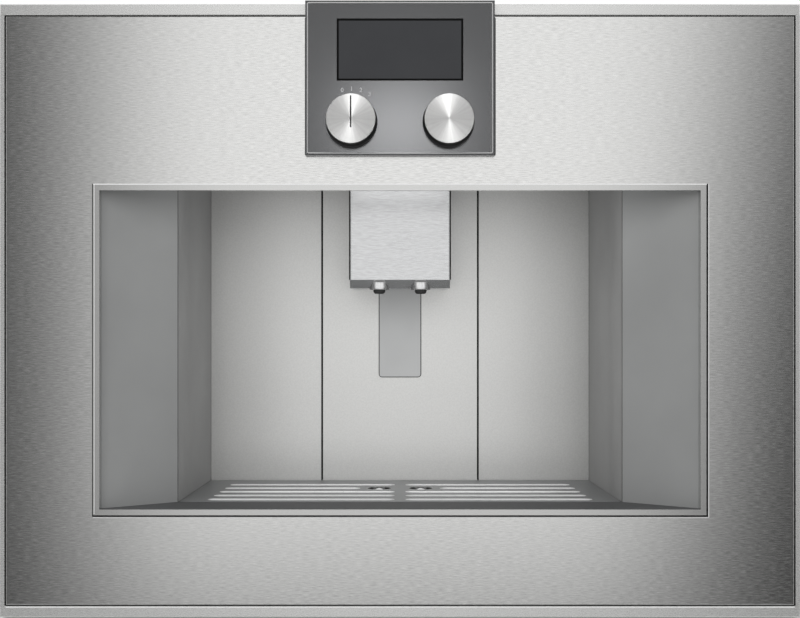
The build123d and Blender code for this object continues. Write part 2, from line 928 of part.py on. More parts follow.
fixing_heights = (front_middle - fixing_spacing / 2, front_middle + fixing_spacing / 2)
lip_edge = case_half - case_lip
with BuildPart() as side_panels:
    with BuildSketch(level_plane(body_floor)):
        area(case_half, body_half, body_front, body_rear - case_wall)
    extrude(amount=body_top - body_floor - case_wall)
    with BuildSketch(level_plane(body_top - 2 * case_wall)):
        area(lip_edge, case_half, bay_front, body_rear - 2 * case_wall)
    extrude(amount=case_wall)
    with BuildSketch(level_plane(body_floor + pan_lip + slip)):
        area(lip_edge, case_half, body_rear - 2 * case_wall, body_rear - case_wall)
    extrude(amount=body_top - body_floor - case_wall - pan_lip - slip)
    with BuildSketch(side_plane(case_half)):
        with Locations((body_rear - 2 * vent_length, front_middle)):
            with GridLocations(vent_spacing, vent_pitch, 2, 8):
                SlotOverall(vent_length, vent_height)
        with Locations([(body_front + fixing_depth, height) for height in fixing_heights]):
            Circle(fixing_radius)
    extrude(amount=case_wall, mode=Mode.SUBTRACT)
    mirror(about=Plane.YZ)
side_panels.part.label = "side_panels"
export_step(side_panels.part, "parts/side_panels.step")

with BuildPart() as rear_panel:
    with BuildSketch(front_plane(body_rear)):
        area(-body_half, body_half, body_floor, body_top - case_wall)
        with Locations((inlet_offset, inlet_centre)):
            Rectangle(inlet_width, inlet_height, mode=Mode.SUBTRACT)
        with Locations((0, front_middle)):
            with GridLocations(vent_spacing, vent_pitch, 5, 8):
                SlotOverall(vent_length, vent_height, mode=Mode.SUBTRACT)
    extrude(amount=case_wall)
rear_panel.part.label = "rear_panel"
export_step(rear_panel.part, "parts/rear_panel.step")

with BuildPart() as top_cover:
    with BuildSketch(level_plane(body_top - case_wall)):
        area(-body_half, body_half, body_front, body_rear)
        with Locations((0, (frame_back + body_rear) / 2)):
            with GridLocations(vent_spacing, vent_pitch, 5, 7):
                SlotOverall(vent_length, vent_height, mode=Mode.SUBTRACT)
    extrude(amount=case_wall)
top_cover.part.label = "top_cover"
export_step(top_cover.part, "parts/top_cover.step")

with BuildPart() as top_screws:
    with BuildSketch(level_plane(body_top)):
        with Locations((0, (body_front + body_rear) / 2)):
            with GridLocations(2 * case_half - case_lip, top_screw_spacing, 2, 3):
                Circle(liner_screw_head)
    extrude(amount=liner_screw_radius)
    chamfer(top_screws.faces().sort_by(Axis.Z)[-6:].edges(), length=rail_chamfer)
top_screws.part.label = "top_screws"
export_step(top_screws.part, "parts/top_screws.step")

# ------------------------------------------------------------------ body: hinges and catches
with BuildPart() as hinge_arms:
    with BuildSketch(level_plane(arm_floor)):
        with BuildLine():
            CenterArc((pivot_x, pivot_depth), arm_nose_radius, 0, 360)
            Polyline(
                (arm_root, body_front),
                (arm_root + arm_width, body_front),
                (arm_root + arm_width, bay_front + slip),
                (arm_root, bay_front + slip),
                close=True,
            )
        make_hull()
        area(-case_half, arm_root + arm_width, bay_front + slip, bay_front + leaf_depth)
    extrude(amount=arm_wall)
    with BuildSketch(level_plane(arm_top - leaf_height)):
        area(-case_half, leaf_wall - case_half, bay_front + slip, bay_front + leaf_depth)
    extrude(amount=leaf_height)
    with BuildSketch(level_plane(arm_top)):
        with Locations((pivot_x, pivot_depth)):
            Circle(pin_radius)
    extrude(amount=pin_reach)
    mirror(about=Plane.XY.offset(front_middle))
hinge_arms.part.label = "hinge_arms"
export_step(hinge_arms.part, "parts/hinge_arms.step")

with BuildPart() as catch_plates:
    with BuildSketch(front_plane(body_front)):
        for height in magnet_heights:
            with Locations((magnet_x, height)):
                Rectangle(magnet_width, magnet_height + 2 * catch_margin)
    extrude(amount=door_gap / 2)
catch_plates.part.label = "catch_plates"
export_step(catch_plates.part, "parts/catch_plates.step")

# ------------------------------------------------------------------ body: bulkhead and inner frame
with BuildPart() as front_bulkhead:
    with BuildSketch(front_plane(body_front)):
        area(-case_half, case_half, pan_floor_top, body_top - case_wall)
        area(-niche_outer, niche_outer, shelf_floor, ceiling_top, mode=Mode.SUBTRACT)
        area(
            -left_bay_far,
            -bay_near - rack_wall,
            grounds_floor - shelf_clearance,
            grounds_top + slip,
            mode=Mode.SUBTRACT,
        )
        area(-left_bay_far, -bay_near - rack_wall, brew_floor, brew_top, mode=Mode.SUBTRACT)
        area(
            -left_bay_far,
            -bay_near - rack_wall,
            bean_shelf_top,
            bean_top + lid_wall + slip,
            mode=Mode.SUBTRACT,
        )
        area(
            bay_near + rack_wall,
            right_bay_far,
            tank_floor - shelf_clearance,
            tank_top + tank_headroom,
            mode=Mode.SUBTRACT,
        )
    extrude(amount=-bulkhead_wall)
    arm_notch_floor = arm_floor - door_gap / 2
    notch(
        -case_half,
        arm_root + arm_width + door_gap,
        body_front,
        bay_front,
        arm_notch_floor,
        body_top,
    )
    notch(
        -case_half,
        arm_root + arm_width + door_gap,
        body_front,
        bay_front,
        body_floor,
        2 * front_middle - arm_notch_floor,
    )
front_bulkhead.part.label = "front_bulkhead"
export_step(front_bulkhead.part, "parts/front_bulkhead.step")

hose_hole = hose_radius + 2 * slip
brew_hose_height = brew_floor + inlet_block_height - 2 * hose_radius
frame_half = case_half - pan_wall

with BuildPart() as inner_frame:
    with BuildSketch(front_plane(frame_front)):
        area(-frame_half, frame_half, pan_floor_top, body_top - 2 * case_wall)
        with Locations((tank_x, pump_height), (grinder_x, brew_hose_height)):
            Circle(hose_hole, mode=Mode.SUBTRACT)
        with Locations((0, front_middle)):
            Rectangle(frame_window_width, frame_window_height, mode=Mode.SUBTRACT)
    extrude(amount=-frame_wall)
inner_frame.part.label = "inner_frame"
export_step(inner_frame.part, "parts/inner_frame.step")

# ------------------------------------------------------------------ cup niche
niche_taper = niche_narrowing / niche_depth
wall_back_half = throat_half - niche_taper * (carrier_front - body_front)
with BuildPart() as niche_sides:
    with BuildSketch(level_plane(grid_top - niche_skirt)):
        with BuildLine():
            Polyline(
                (throat_half, body_front),
                (throat_half + niche_wall, body_front),
                (wall_back_half + niche_wall, carrier_front),
                (wall_back_half, carrier_front),
                close=True,
            )
        make_face()
    extrude(amount=ceiling_floor - grid_top + niche_skirt)
    mirror(about=Plane.YZ)
niche_sides.part.label = "niche_sides"
export_step(niche_sides.part, "parts/niche_sides.step")

centre_half = centre_panel_width / 2
panel_edge = niche_back_half - slip
with BuildPart() as niche_back_panels:
    with BuildSketch(front_plane(niche_back)):
        for side in (-1, 1):
            near = side * (centre_half + panel_joint)
            far = side * panel_edge
            area(min(near, far), max(near, far), grid_top - niche_skirt, ceiling_floor)
        area(-centre_half, centre_half, grid_top - niche_skirt, ceiling_floor)
    extrude(amount=-panel_wall)
niche_back_panels.part.label = "niche_back_panels"
export_step(niche_back_panels.part, "parts/niche_back_panels.step")

guide_floor = mouth_top - guide_drop
with BuildPart() as spout_guide_plate:
    with BuildSketch(front_plane(niche_back)) as guide_outline:
        area(-guide_width / 2, guide_width / 2, guide_floor, ceiling_floor)
        fillet(guide_outline.vertices().group_by(Axis.Z)[0], radius=guide_radius)
    extrude(amount=guide_proud)
spout_guide_plate.part.label = "spout_guide_plate"
export_step(spout_guide_plate.part, "parts/spout_guide_plate.step")

with BuildPart() as niche_back_carrier:
    with BuildSketch(front_plane(carrier_front)):
        area(-throat_half, throat_half, grid_top - niche_skirt, ceiling_floor)
    extrude(amount=-carrier_wall)
    with BuildSketch(front_plane(carrier_back)):
        with GridLocations(2 * centre_half, 0, 3, 1):
            with Locations((0, (grid_top + ceiling_floor) / 2)):
                Rectangle(rib_wall, ceiling_floor - grid_top)
    extrude(amount=carrier_back - frame_front)
niche_back_carrier.part.label = "niche_back_carrier"
export_step(niche_back_carrier.part, "parts/niche_back_carrier.step")

with BuildPart() as niche_ceiling:
    with BuildSketch(level_plane(ceiling_floor)):
        area(-niche_outer, niche_outer, body_front, carrier_back)
        area(
            -spout_half - ceiling_slot_gap,
            spout_half + ceiling_slot_gap,
            spout_front - ceiling_slot_gap,
            spout_back + ceiling_slot_gap,
            mode=Mode.SUBTRACT,
        )
        with Locations((-lamp_pair_width / 2, lamp_depth), (lamp_pair_width / 2, lamp_depth)):
            Circle(lamp_radius + fit, mode=Mode.SUBTRACT)
    extrude(amount=ceiling_wall)
niche_ceiling.part.label = "niche_ceiling"
export_step(niche_ceiling.part, "parts/niche_ceiling.step")

with BuildPart() as niche_lamps:
    with BuildSketch(level_plane(ceiling_floor - lamp_proud)):
        with Locations((-lamp_pair_width / 2, lamp_depth), (lamp_pair_width / 2, lamp_depth)):
            Circle(lamp_radius)
    extrude(amount=lamp_proud + ceiling_wall)
    with BuildSketch(level_plane(ceiling_top)):
        with Locations((-lamp_pair_width / 2, lamp_depth), (lamp_pair_width / 2, lamp_depth)):
            Circle(lamp_radius + lamp_proud)
    extrude(amount=lamp_proud)
niche_lamps.part.label = "niche_lamps"
export_step(niche_lamps.part, "parts/niche_lamps.step")

with BuildPart() as tray_shelf:
    with BuildSketch(level_plane(shelf_floor)):
        area(-niche_outer, niche_outer, bay_front, carrier_front)
    extrude(amount=shelf_wall)
    with BuildSketch(level_plane(shelf_top)):
        for side in (-1, 1):
            inner = side * (niche_outer - shelf_rib / 2)
            outer = side * niche_outer
            area(min(inner, outer), max(inner, outer), bay_front, carrier_front)
        area(-niche_outer, niche_outer, carrier_front - shelf_rib / 2, carrier_front)
    extrude(amount=grid_top - niche_skirt - shelf_top)
    with BuildSketch(level_plane(pan_floor_top)):
        with Locations((0, (bay_front + carrier_front) / 2)):
            with GridLocations(tray_half, 0, 3, 1):
                Rectangle(shelf_rib, carrier_front - bay_front - 2 * shelf_rib)
    extrude(amount=shelf_floor - pan_floor_top)
tray_shelf.part.label = "tray_shelf"
export_step(tray_shelf.part, "parts/tray_shelf.step")

# ------------------------------------------------------------------ spout
with BuildPart() as spout_cover:
    with BuildSketch(side_plane(0)):
        with BuildLine():
            Polyline(
                (spout_front, spout_top),
                (spout_front, spout_floor + spout_chamfer),
                (spout_front + spout_chamfer, spout_floor),
                (spout_back, spout_floor),
                (spout_back, spout_top),
                close=True,
            )
        make_face()
    extrude(amount=spout_half, both=True)
    upright = spout_cover.edges().filter_by(Axis.Z).group_by(Axis.Y)[0]
    fillet(upright, radius=spout_edge_radius)
    inner_chamfer = spout_chamfer - spout_wall / 2
    with BuildSketch(side_plane(0)):
        with BuildLine():
            Polyline(
                (spout_front + spout_wall, spout_top),
                (spout_front + spout_wall, spout_floor + spout_wall + inner_chamfer),
                (spout_front + spout_wall + inner_chamfer, spout_floor + spout_wall),
                (spout_back - spout_wall, spout_floor + spout_wall),
                (spout_back - spout_wall, spout_top),
                close=True,
            )
        make_face()
    extrude(amount=spout_half - spout_wall, both=True, mode=Mode.SUBTRACT)
    with BuildSketch(level_plane(spout_floor)):
        with Locations((-nozzle_spacing / 2, nozzle_depth), (nozzle_spacing / 2, nozzle_depth)):
            Circle(sleeve_radius + fit)
    extrude(amount=core_lift, mode=Mode.SUBTRACT)
spout_cover.part.label = "spout_cover"
export_step(spout_cover.part, "parts/spout_cover.step")

with BuildPart() as spout_core:
    with BuildSketch(level_plane(core_floor)):
        area(
            spout_wall - spout_half,
            spout_half - spout_wall,
            spout_front + spout_wall,
            spout_back - spout_wall,
        )
        with Locations((-nozzle_spacing / 2, nozzle_depth), (nozzle_spacing / 2, nozzle_depth)):
            Circle(nozzle_bore, mode=Mode.SUBTRACT)
    extrude(amount=core_height)
spout_core.part.label = "spout_core"
export_step(spout_core.part, "parts/spout_core.step")

nozzle_places = [(side * nozzle_spacing / 2, nozzle_depth) for side in (-1, 1)]
nozzle_floor = spout_floor - nozzle_drop
with BuildPart() as spout_nozzles:
    with BuildSketch(level_plane(nozzle_floor)):
        with Locations(nozzle_places):
            Circle(nozzle_radius)
            Circle(nozzle_bore, mode=Mode.SUBTRACT)
    extrude(amount=core_floor - nozzle_floor)
spout_nozzles.part.label = "spout_nozzles"
export_step(spout_nozzles.part, "parts/spout_nozzles.step")

with BuildPart() as nozzle_tips:
    with BuildSketch(level_plane(nozzle_floor)):
        with Locations(nozzle_places):
            Circle(nozzle_tip_radius)
    extrude(amount=-nozzle_tip_length)
    fillet(nozzle_tips.faces().group_by(Axis.Z)[0].edges(), radius=nozzle_tip_round)
    with BuildSketch(level_plane(nozzle_floor)):
        with Locations(nozzle_places):
            Circle(nozzle_bore)
    extrude(amount=-nozzle_tip_length, mode=Mode.SUBTRACT)

with BuildPart() as nozzle_sleeves:
    with BuildSketch(level_plane(spout_floor - sleeve_drop)):
        with Locations(nozzle_places):
            Circle(sleeve_radius)
            Circle(nozzle_radius + fit, mode=Mode.SUBTRACT)
    extrude(amount=core_lift + sleeve_drop)
    with BuildSketch(side_plane(0)):
        with BuildLine():
            Polyline(
                (spout_front, spout_floor - sleeve_drop),
                (spout_front + spout_chamfer, spout_floor - sleeve_drop),
                (spout_front, spout_floor - sleeve_drop + spout_chamfer),
                close=True,
            )
        make_face()
    extrude(amount=spout_half, both=True, mode=Mode.SUBTRACT)
nozzle_rubber = Compound(children=[nozzle_sleeves.part, nozzle_tips.part])
nozzle_rubber.label = "nozzle_rubber"
export_step(nozzle_rubber, "parts/nozzle_rubber.step")

rod_depth = spout_back - rod_setback
rod_top = body_top - bridge_gap - case_wall - bridge_wall
with BuildPart() as spout_carriage:
    with BuildSketch(level_plane(spout_top)):
        area(
            -carriage_width / 2,
            carriage_width / 2,
            spout_back - carriage_depth,
            spout_back,
        )
        with Locations((-rod_spacing / 2, rod_depth), (rod_spacing / 2, rod_depth)):
            Circle(rod_radius + fit, mode=Mode.SUBTRACT)
    extrude(amount=carriage_wall)
spout_carriage.part.label = "spout_carriage"
export_step(spout_carriage.part, "parts/spout_carriage.step")

with BuildPart() as spout_rods:
    with BuildSketch(level_plane(ceiling_top)):
        with Locations((-rod_spacing / 2, rod_depth), (rod_spacing / 2, rod_depth)):
            Circle(rod_radius)
    extrude(amount=rod_top - ceiling_top)

bracket_half = carriage_width / 2 + bay_clearance
with BuildPart() as spout_bracket:
    with BuildSketch(front_plane(rod_depth)):
        frame_area(
            bracket_half + bridge_wall,
            ceiling_top - bridge_wall,
            rod_top + bridge_wall,
            bridge_wall,
        )
        area(
            -bracket_half - bridge_wall,
            bracket_half + bridge_wall,
            ceiling_top - bridge_wall,
            ceiling_top,
            mode=Mode.SUBTRACT,
        )
        for side in (-1, 1):
            heel = side * (bracket_half + bridge_wall)
            toe = side * (bracket_half + bridge_wall + case_lip)
            area(min(heel, toe), max(heel, toe), ceiling_top, ceiling_top + bridge_wall)
    extrude(amount=case_lip, both=True)
spout_guide = Compound(children=[spout_rods.part, spout_bracket.part])
spout_guide.label = "spout_guide"
export_step(spout_guide, "parts/spout_guide.step")

# ------------------------------------------------------------------ drip tray and grid
with BuildPart() as drip_tray:
    with BuildSketch(level_plane(tray_floor)) as tray_outline:
        area(-tray_half, tray_half, grid_front, grid_back - grid_margin)
        fillet(tray_outline.vertices(), radius=tray_corner)
    extrude(amount=grid_floor - tray_floor)
    with BuildSketch(level_plane(tray_floor + tray_wall)) as tray_inside:
        area(
            tray_wall - tray_half,
            tray_half - tray_wall,
            grid_front + tray_wall,
            grid_back - grid_margin - tray_wall,
        )
        fillet(tray_inside.vertices(), radius=tray_corner - tray_wall)
    extrude(amount=grid_floor - tray_floor, mode=Mode.SUBTRACT)
drip_tray.part.label = "drip_tray"
export_step(drip_tray.part, "parts/drip_tray.step")

grid_front_half = throat_half - niche_taper * grid_margin - grid_gap
grid_back_half = niche_back_half + niche_taper * grid_margin - grid_gap
with BuildPart() as drip_grid:
    with BuildSketch(level_plane(grid_floor)) as grid_edge:
        with BuildLine():
            Polyline(
                (-grid_front_half, grid_front),
                (grid_front_half, grid_front),
                (grid_back_half, grid_back),
                (-grid_back_half, grid_back),
                close=True,
            )
        make_face()
        fillet(grid_edge.vertices(), radius=grid_corner)
    extrude(amount=grid_rim)
    with BuildSketch(level_plane(grid_floor)):
        area(
            tray_wall + grid_gap - tray_half,
            tray_half - tray_wall - grid_gap,
            grid_front + tray_wall + grid_gap,
            grid_back - grid_margin - tray_wall - grid_gap,
        )
    extrude(amount=grid_rim - grid_wall, mode=Mode.SUBTRACT)
    with BuildSketch(level_plane(grid_floor)):
        for row in range(slots_before_drain + 2):
            row_depth = grid_front + first_slot + row * slot_pitch
            outer = slot_half_length - row * slot_step
            inner = slot_inner
            if row == slots_before_drain:
                inner = nozzle_spacing / 2 + drain_radius + drain_land
            for side in (-1, 1):
                with Locations((side * (inner + outer) / 2, row_depth)):
                    SlotOverall(outer - inner, slot_width)
        with Locations((-nozzle_spacing / 2, drain_depth), (nozzle_spacing / 2, drain_depth)):
            Circle(drain_radius)
    extrude(amount=grid_rim, mode=Mode.SUBTRACT)
drip_grid.part.label = "drip_grid"
export_step(drip_grid.part, "parts/drip_grid.step")

cup_bottom = grid_top - cup_depth
with BuildPart() as drain_cups:
    for across in (-nozzle_spacing / 2, nozzle_spacing / 2):
        rim = drain_radius - fit
        with BuildSketch(side_plane(across)):
            with BuildLine():
                Polyline(
                    (drain_depth + rim, grid_top),
                    (drain_depth + rim, grid_floor),
                    (drain_depth + cup_outlet + cup_wall, cup_bottom),
                    (drain_depth + cup_outlet, cup_bottom),
                    (drain_depth + cup_outlet, cup_bottom + cup_wall),
                    (drain_depth + rim - cup_wall, grid_floor + cup_wall),
                    (drain_depth + rim - cup_wall, grid_top),
                    close=True,
                )
            make_face()
        revolve(axis=Axis((across, front_y + drain_depth, 0), (0, 0, 1)))
drain_cups.part.label = "drain_cups"
export_step(drain_cups.part, "parts/drain_cups.step")


# ------------------------------------------------------------------ containers
def tub(near, far, front, back, low, high, wall):
    """An open-topped tub with rounded upright corners and a finger rim along its front."""
    with BuildPart() as body:
        with BuildSketch(level_plane(low)) as outline:
            area(near, far, front, back)
            fillet(outline.vertices(), radius=box_corner)
        extrude(amount=high - low)
        with BuildSketch(level_plane(low + wall)) as inside:
            area(near + wall, far - wall, front + wall, back - wall)
            fillet(inside.vertices(), radius=box_corner - wall)
        extrude(amount=high - low, mode=Mode.SUBTRACT)
        grip_top = high - lid_skirt - lid_wall
        grip_back = front + grip_depth
        with BuildSketch(side_plane((near + far) / 2)):
            with BuildLine():
                Polyline(
                    (front, grip_top),
                    (grip_back + wall, grip_top),
                    (grip_back + wall, grip_top - grip_height),
                    (front, grip_top - grip_height - grip_depth),
                    close=True,
                )
            make_face()
        extrude(amount=grip_width / 2, both=True)
        with BuildSketch(side_plane((near + far) / 2)):
            area(front, grip_back, grip_top - grip_height, grip_top - wall)
        extrude(amount=grip_width / 2 - wall, both=True, mode=Mode.SUBTRACT)
    return body


def lid(near, far, front, back, rim, wall):
    """A flat lid whose skirt drops inside the tub."""
    inset = wall + slip
    with BuildPart() as cap:
        with BuildSketch(level_plane(rim)) as outline:
            area(near, far, front, back)
            fillet(outline.vertices(), radius=box_corner)
        extrude(amount=lid_wall)
        with BuildSketch(level_plane(rim)) as skirt:
            area(near + inset, far - inset, front + inset, back - inset)
            fillet(skirt.vertices(), radius=box_corner - wall)
            area(
                near + inset + lid_wall,
                far - inset - lid_wall,
                front + inset + lid_wall,
                back - inset - lid_wall,
                mode=Mode.SUBTRACT,
            )
        extrude(amount=-lid_skirt)
    return cap


grounds_container = tub(
    -left_box_far, -box_near, box_front, box_back, grounds_floor, grounds_top, box_wall
)
grounds_container.part.label = "grounds_container"
export_step(grounds_container.part, "parts/grounds_container.step")

bean_container = tub(
    -left_box_far, -box_near, box_front, box_back, bean_floor, bean_top, box_wall
)
with bean_container:
    with BuildSketch(level_plane(bean_floor)) as bean_outlet:
        with Locations((grinder_x, grinder_depth)):
            Circle(throat_radius - grinder_wall)
    extrude(bean_outlet.sketch, amount=box_wall, mode=Mode.SUBTRACT)
bean_lid = lid(-left_box_far, -box_near, box_front, box_back, bean_top, box_wall)
bean_hopper = Compound(children=[bean_container.part, bean_lid.part])
bean_hopper.label = "bean_hopper"
export_step(bean_hopper, "parts/bean_hopper.step")

water_tank = tub(box_near, right_box_far, box_front, box_back, tank_floor, tank_top, tank_wall)
water_tank.part.label = "water_tank"
export_step(water_tank.part, "parts/water_tank.step")

water_tank_lid = lid(box_near, right_box_far, box_front, box_back, tank_top, tank_wall)
water_tank_lid.part.label = "water_tank_lid"
export_step(water_tank_lid.part, "parts/water_tank_lid.step")


# ------------------------------------------------------------------ racks that hold them
def rack(near, far, low, high, shelves):
    """Two upright walls with shelves between them, from the bulkhead to the inner frame."""
    with BuildPart() as body:
        with BuildSketch(level_plane(low)):
            area(near, near + rack_wall, bay_front, frame_front)
            area(far - rack_wall, far, bay_front, frame_front)
        extrude(amount=high - low)
        for shelf in shelves:
            with BuildSketch(level_plane(shelf - shelf_wall)):
                area(near, far, bay_front, frame_front)
            extrude(amount=shelf_wall)
    return body


left_bay_rack = rack(
    -left_bay_far - rack_wall,
    -bay_near,
    body_floor + pan_lip,
    bean_top,
    (grounds_floor - shelf_clearance, brew_floor, bean_shelf_top),
)
with left_bay_rack:
    notch(
        -left_bay_far,
        -bay_near - rack_wall,
        grinder_depth - grinder_radius - slip,
        frame_front,
        brew_floor - shelf_wall,
        brew_floor,
    )
    with BuildSketch(level_plane(throat_end)) as throat_hole:
        with Locations((grinder_x, grinder_depth)):
            Circle(throat_radius - grinder_wall)
    extrude(throat_hole.sketch, amount=shelf_wall, mode=Mode.SUBTRACT)
left_bay_rack.part.label = "left_bay_rack"
export_step(left_bay_rack.part, "parts/left_bay_rack.step")

tank_bay = rack(
    bay_near,
    right_bay_far + rack_wall,
    body_floor + pan_lip,
    tank_top,
    (tank_floor - shelf_clearance,),
)
with tank_bay:
    with BuildSketch(level_plane(tank_floor - shelf_clearance - shelf_wall)) as valve_hole:
        with Locations((tank_x, valve_depth)):
            Circle(tank_valve_radius)
    extrude(valve_hole.sketch, amount=shelf_wall, mode=Mode.SUBTRACT)
valve_top = tank_floor - shelf_clearance
with BuildPart() as tank_valve:
    with BuildSketch(level_plane(valve_top - tank_valve_height)):
        with Locations((tank_x, valve_depth)):
            Circle(tank_valve_radius)
            Circle(hose_radius / 2, mode=Mode.SUBTRACT)
    extrude(amount=tank_valve_height)
    with BuildSketch(level_plane(valve_top - tank_valve_height)):
        with Locations((tank_x, valve_depth)):
            Circle(tank_valve_radius + rack_wall)
            Circle(tank_valve_radius, mode=Mode.SUBTRACT)
    extrude(amount=tank_valve_height - shelf_wall)
tank_rack = Compound(children=[tank_bay.part, tank_valve.part])
tank_rack.label = "tank_rack"
export_step(tank_rack, "parts/tank_rack.step")

# ------------------------------------------------------------------ grinder
with BuildPart() as grinder_housing:
    with BuildSketch(level_plane(chamber_floor)):
        with Locations((grinder_x, grinder_depth)):
            Circle(grinder_radius)
    extrude(amount=chamber_height)
    with BuildSketch(level_plane(chamber_top)):
        with Locations((grinder_x, grinder_depth)):
            Circle(throat_radius)
    extrude(amount=throat_height)
    with BuildSketch(level_plane(chamber_floor + grinder_wall)):
        with Locations((grinder_x, grinder_depth)):
            Circle(ring_outer_radius + fit)
    extrude(amount=chamber_height - 2 * grinder_wall, mode=Mode.SUBTRACT)
    with BuildSketch(level_plane(chamber_floor)):
        with Locations((grinder_x, grinder_depth)):
            Circle(spindle_radius + fit)
    extrude(amount=grinder_wall, mode=Mode.SUBTRACT)
    with BuildSketch(level_plane(chamber_top - grinder_wall)):
        with Locations((grinder_x, grinder_depth)):
            Circle(throat_radius - grinder_wall)
    extrude(amount=grinder_wall + throat_height, mode=Mode.SUBTRACT)
    with BuildSketch(front_plane(grinder_depth)):
        area(
            grinder_x - chute_width / 2,
            grinder_x + chute_width / 2,
            chamber_floor + grinder_wall,
            chamber_floor + grinder_wall + chute_height,
        )
    extrude(amount=grinder_radius, mode=Mode.SUBTRACT)
grinder_housing.part.label = "grinder_housing"
export_step(grinder_housing.part, "parts/grinder_housing.step")

burr_floor = chamber_top - grinder_wall - burr_height
with BuildPart() as ring_burr:
    with BuildSketch(level_plane(burr_floor)):
        with Locations((grinder_x, grinder_depth)):
            Circle(ring_outer_radius)
            Circle(ring_inner_radius, mode=Mode.SUBTRACT)
    extrude(amount=burr_height)
    with BuildSketch(level_plane(burr_floor)):
        with Locations((grinder_x, grinder_depth)):
            with PolarLocations(ring_inner_radius, ring_teeth):
                Rectangle(2 * tooth_depth, tooth_width)
    extrude(amount=burr_height, mode=Mode.SUBTRACT)
ring_burr.part.label = "ring_burr"
export_step(ring_burr.part, "parts/ring_burr.step")

with BuildPart() as cone_burr:
    with BuildSketch(level_plane(burr_floor)):
        with Locations((grinder_x, grinder_depth)):
            Circle(cone_base_radius)
    with BuildSketch(level_plane(burr_floor + burr_height)):
        with Locations((grinder_x, grinder_depth)):
            Circle(cone_top_radius)
    loft()
    with BuildSketch(level_plane(burr_floor)):
        with Locations((grinder_x, grinder_depth)):
            with PolarLocations(cone_base_radius, cone_teeth):
                Rectangle(2 * tooth_depth, tooth_width)
    extrude(amount=burr_height, mode=Mode.SUBTRACT)
    with BuildSketch(level_plane(chamber_floor - spindle_reach)):
        with Locations((grinder_x, grinder_depth)):
            Circle(spindle_radius)
    extrude(amount=burr_floor - chamber_floor + spindle_reach)
cone_burr.part.label = "cone_burr"
export_step(cone_burr.part, "parts/cone_burr.step")

with BuildPart() as grinder_motor:
    with BuildSketch(level_plane(motor_floor)):
        with Locations((grinder_x, grinder_depth)):
            Circle(motor_radius)
    extrude(amount=motor_height)
    with BuildSketch(level_plane(chamber_floor - spindle_reach - slip)):
        with Locations((grinder_x, grinder_depth)):
            Circle(spindle_radius + fit)
    extrude(amount=spindle_reach + slip, mode=Mode.SUBTRACT)
    with BuildSketch(front_plane(frame_front)):
        with Locations((grinder_x, (motor_floor + chamber_floor) / 2)):
            Rectangle(motor_bracket_width, motor_bracket_height)
    extrude(amount=frame_front - grinder_depth - motor_radius + grinder_wall)
grinder_motor.part.label = "grinder_motor"
export_step(grinder_motor.part, "parts/grinder_motor.step")

# ------------------------------------------------------------------ brew unit
brew_x = grinder_x
brew_near = -box_near
brew_far = -left_box_far
cylinder_outer = brew_bore + brew_cylinder_wall
cylinder_floor = brew_floor + brew_height / 2 - brew_cylinder_height / 2
cylinder_top = cylinder_floor + brew_cylinder_height
with BuildPart() as brew_unit:
    with BuildSketch(level_plane(brew_floor)):
        area(brew_far, brew_near, box_front + cover_wall, brew_back)
    extrude(amount=brew_wall)
    with BuildSketch(level_plane(brew_floor)):
        for wall_near in (brew_far, brew_near - brew_wall):
            area(wall_near, wall_near + brew_wall, box_front + cover_wall, brew_back)
    extrude(amount=brew_height)
    with BuildSketch(level_plane(brew_top - brew_wall)):
        area(brew_far, brew_near, box_front + cover_wall, brew_back)
        with Locations((brew_x, brew_depth)):
            Circle(brew_rod_radius + fit, mode=Mode.SUBTRACT)
    extrude(amount=brew_wall)
    with BuildSketch(level_plane(brew_top - brew_sleeve_length)):
        with Locations((brew_x, brew_depth)):
            Circle(brew_sleeve_radius)
            Circle(brew_rod_radius + fit, mode=Mode.SUBTRACT)
    extrude(amount=brew_sleeve_length)
    with BuildSketch(level_plane(cylinder_floor)):
        area(
            brew_far,
            brew_near,
            brew_depth - brew_arm_width / 2,
            brew_depth + brew_arm_width / 2,
        )
        with Locations((brew_x, brew_depth)):
            Circle(cylinder_outer)
            Circle(brew_bore, mode=Mode.SUBTRACT)
    extrude(amount=brew_cylinder_height)
    with BuildSketch(level_plane(cylinder_floor)):
        with Locations((brew_x, brew_depth)):
            Circle(cylinder_outer)
    extrude(amount=brew_wall)
    with BuildSketch(level_plane(brew_floor)):
        area(brew_far, brew_near, brew_back - inlet_block_depth, brew_back)
    extrude(amount=inlet_block_height)
brew_unit.part.label = "brew_unit"
export_step(brew_unit.part, "parts/brew_unit.step")

piston_floor = cylinder_top - brew_piston_height
with BuildPart() as brew_piston:
    with BuildSketch(level_plane(piston_floor)):
        with Locations((brew_x, brew_depth)):
            Circle(brew_bore - brew_piston_gap)
    extrude(amount=brew_piston_height)
    with BuildSketch(level_plane(cylinder_top)):
        with Locations((brew_x, brew_depth)):
            Circle(brew_rod_radius)
    extrude(amount=brew_top - cylinder_top + brew_lift)
brew_piston.part.label = "brew_piston"
export_step(brew_piston.part, "parts/brew_piston.step")

with BuildPart() as brew_cover:
    with BuildSketch(front_plane(box_front + cover_wall)):
        area(slip - left_bay_far, -bay_near - rack_wall - slip, brew_floor, brew_top)
    extrude(amount=cover_wall)
    with BuildSketch(front_plane(box_front)):
        with Locations((brew_x, (brew_floor + brew_top) / 2)):
            RectangleRounded(grip_width, grip_height, radius=guide_radius)
    extrude(amount=-cover_wall, mode=Mode.SUBTRACT)
brew_cover.part.label = "brew_cover"
export_step(brew_cover.part, "parts/brew_cover.step")

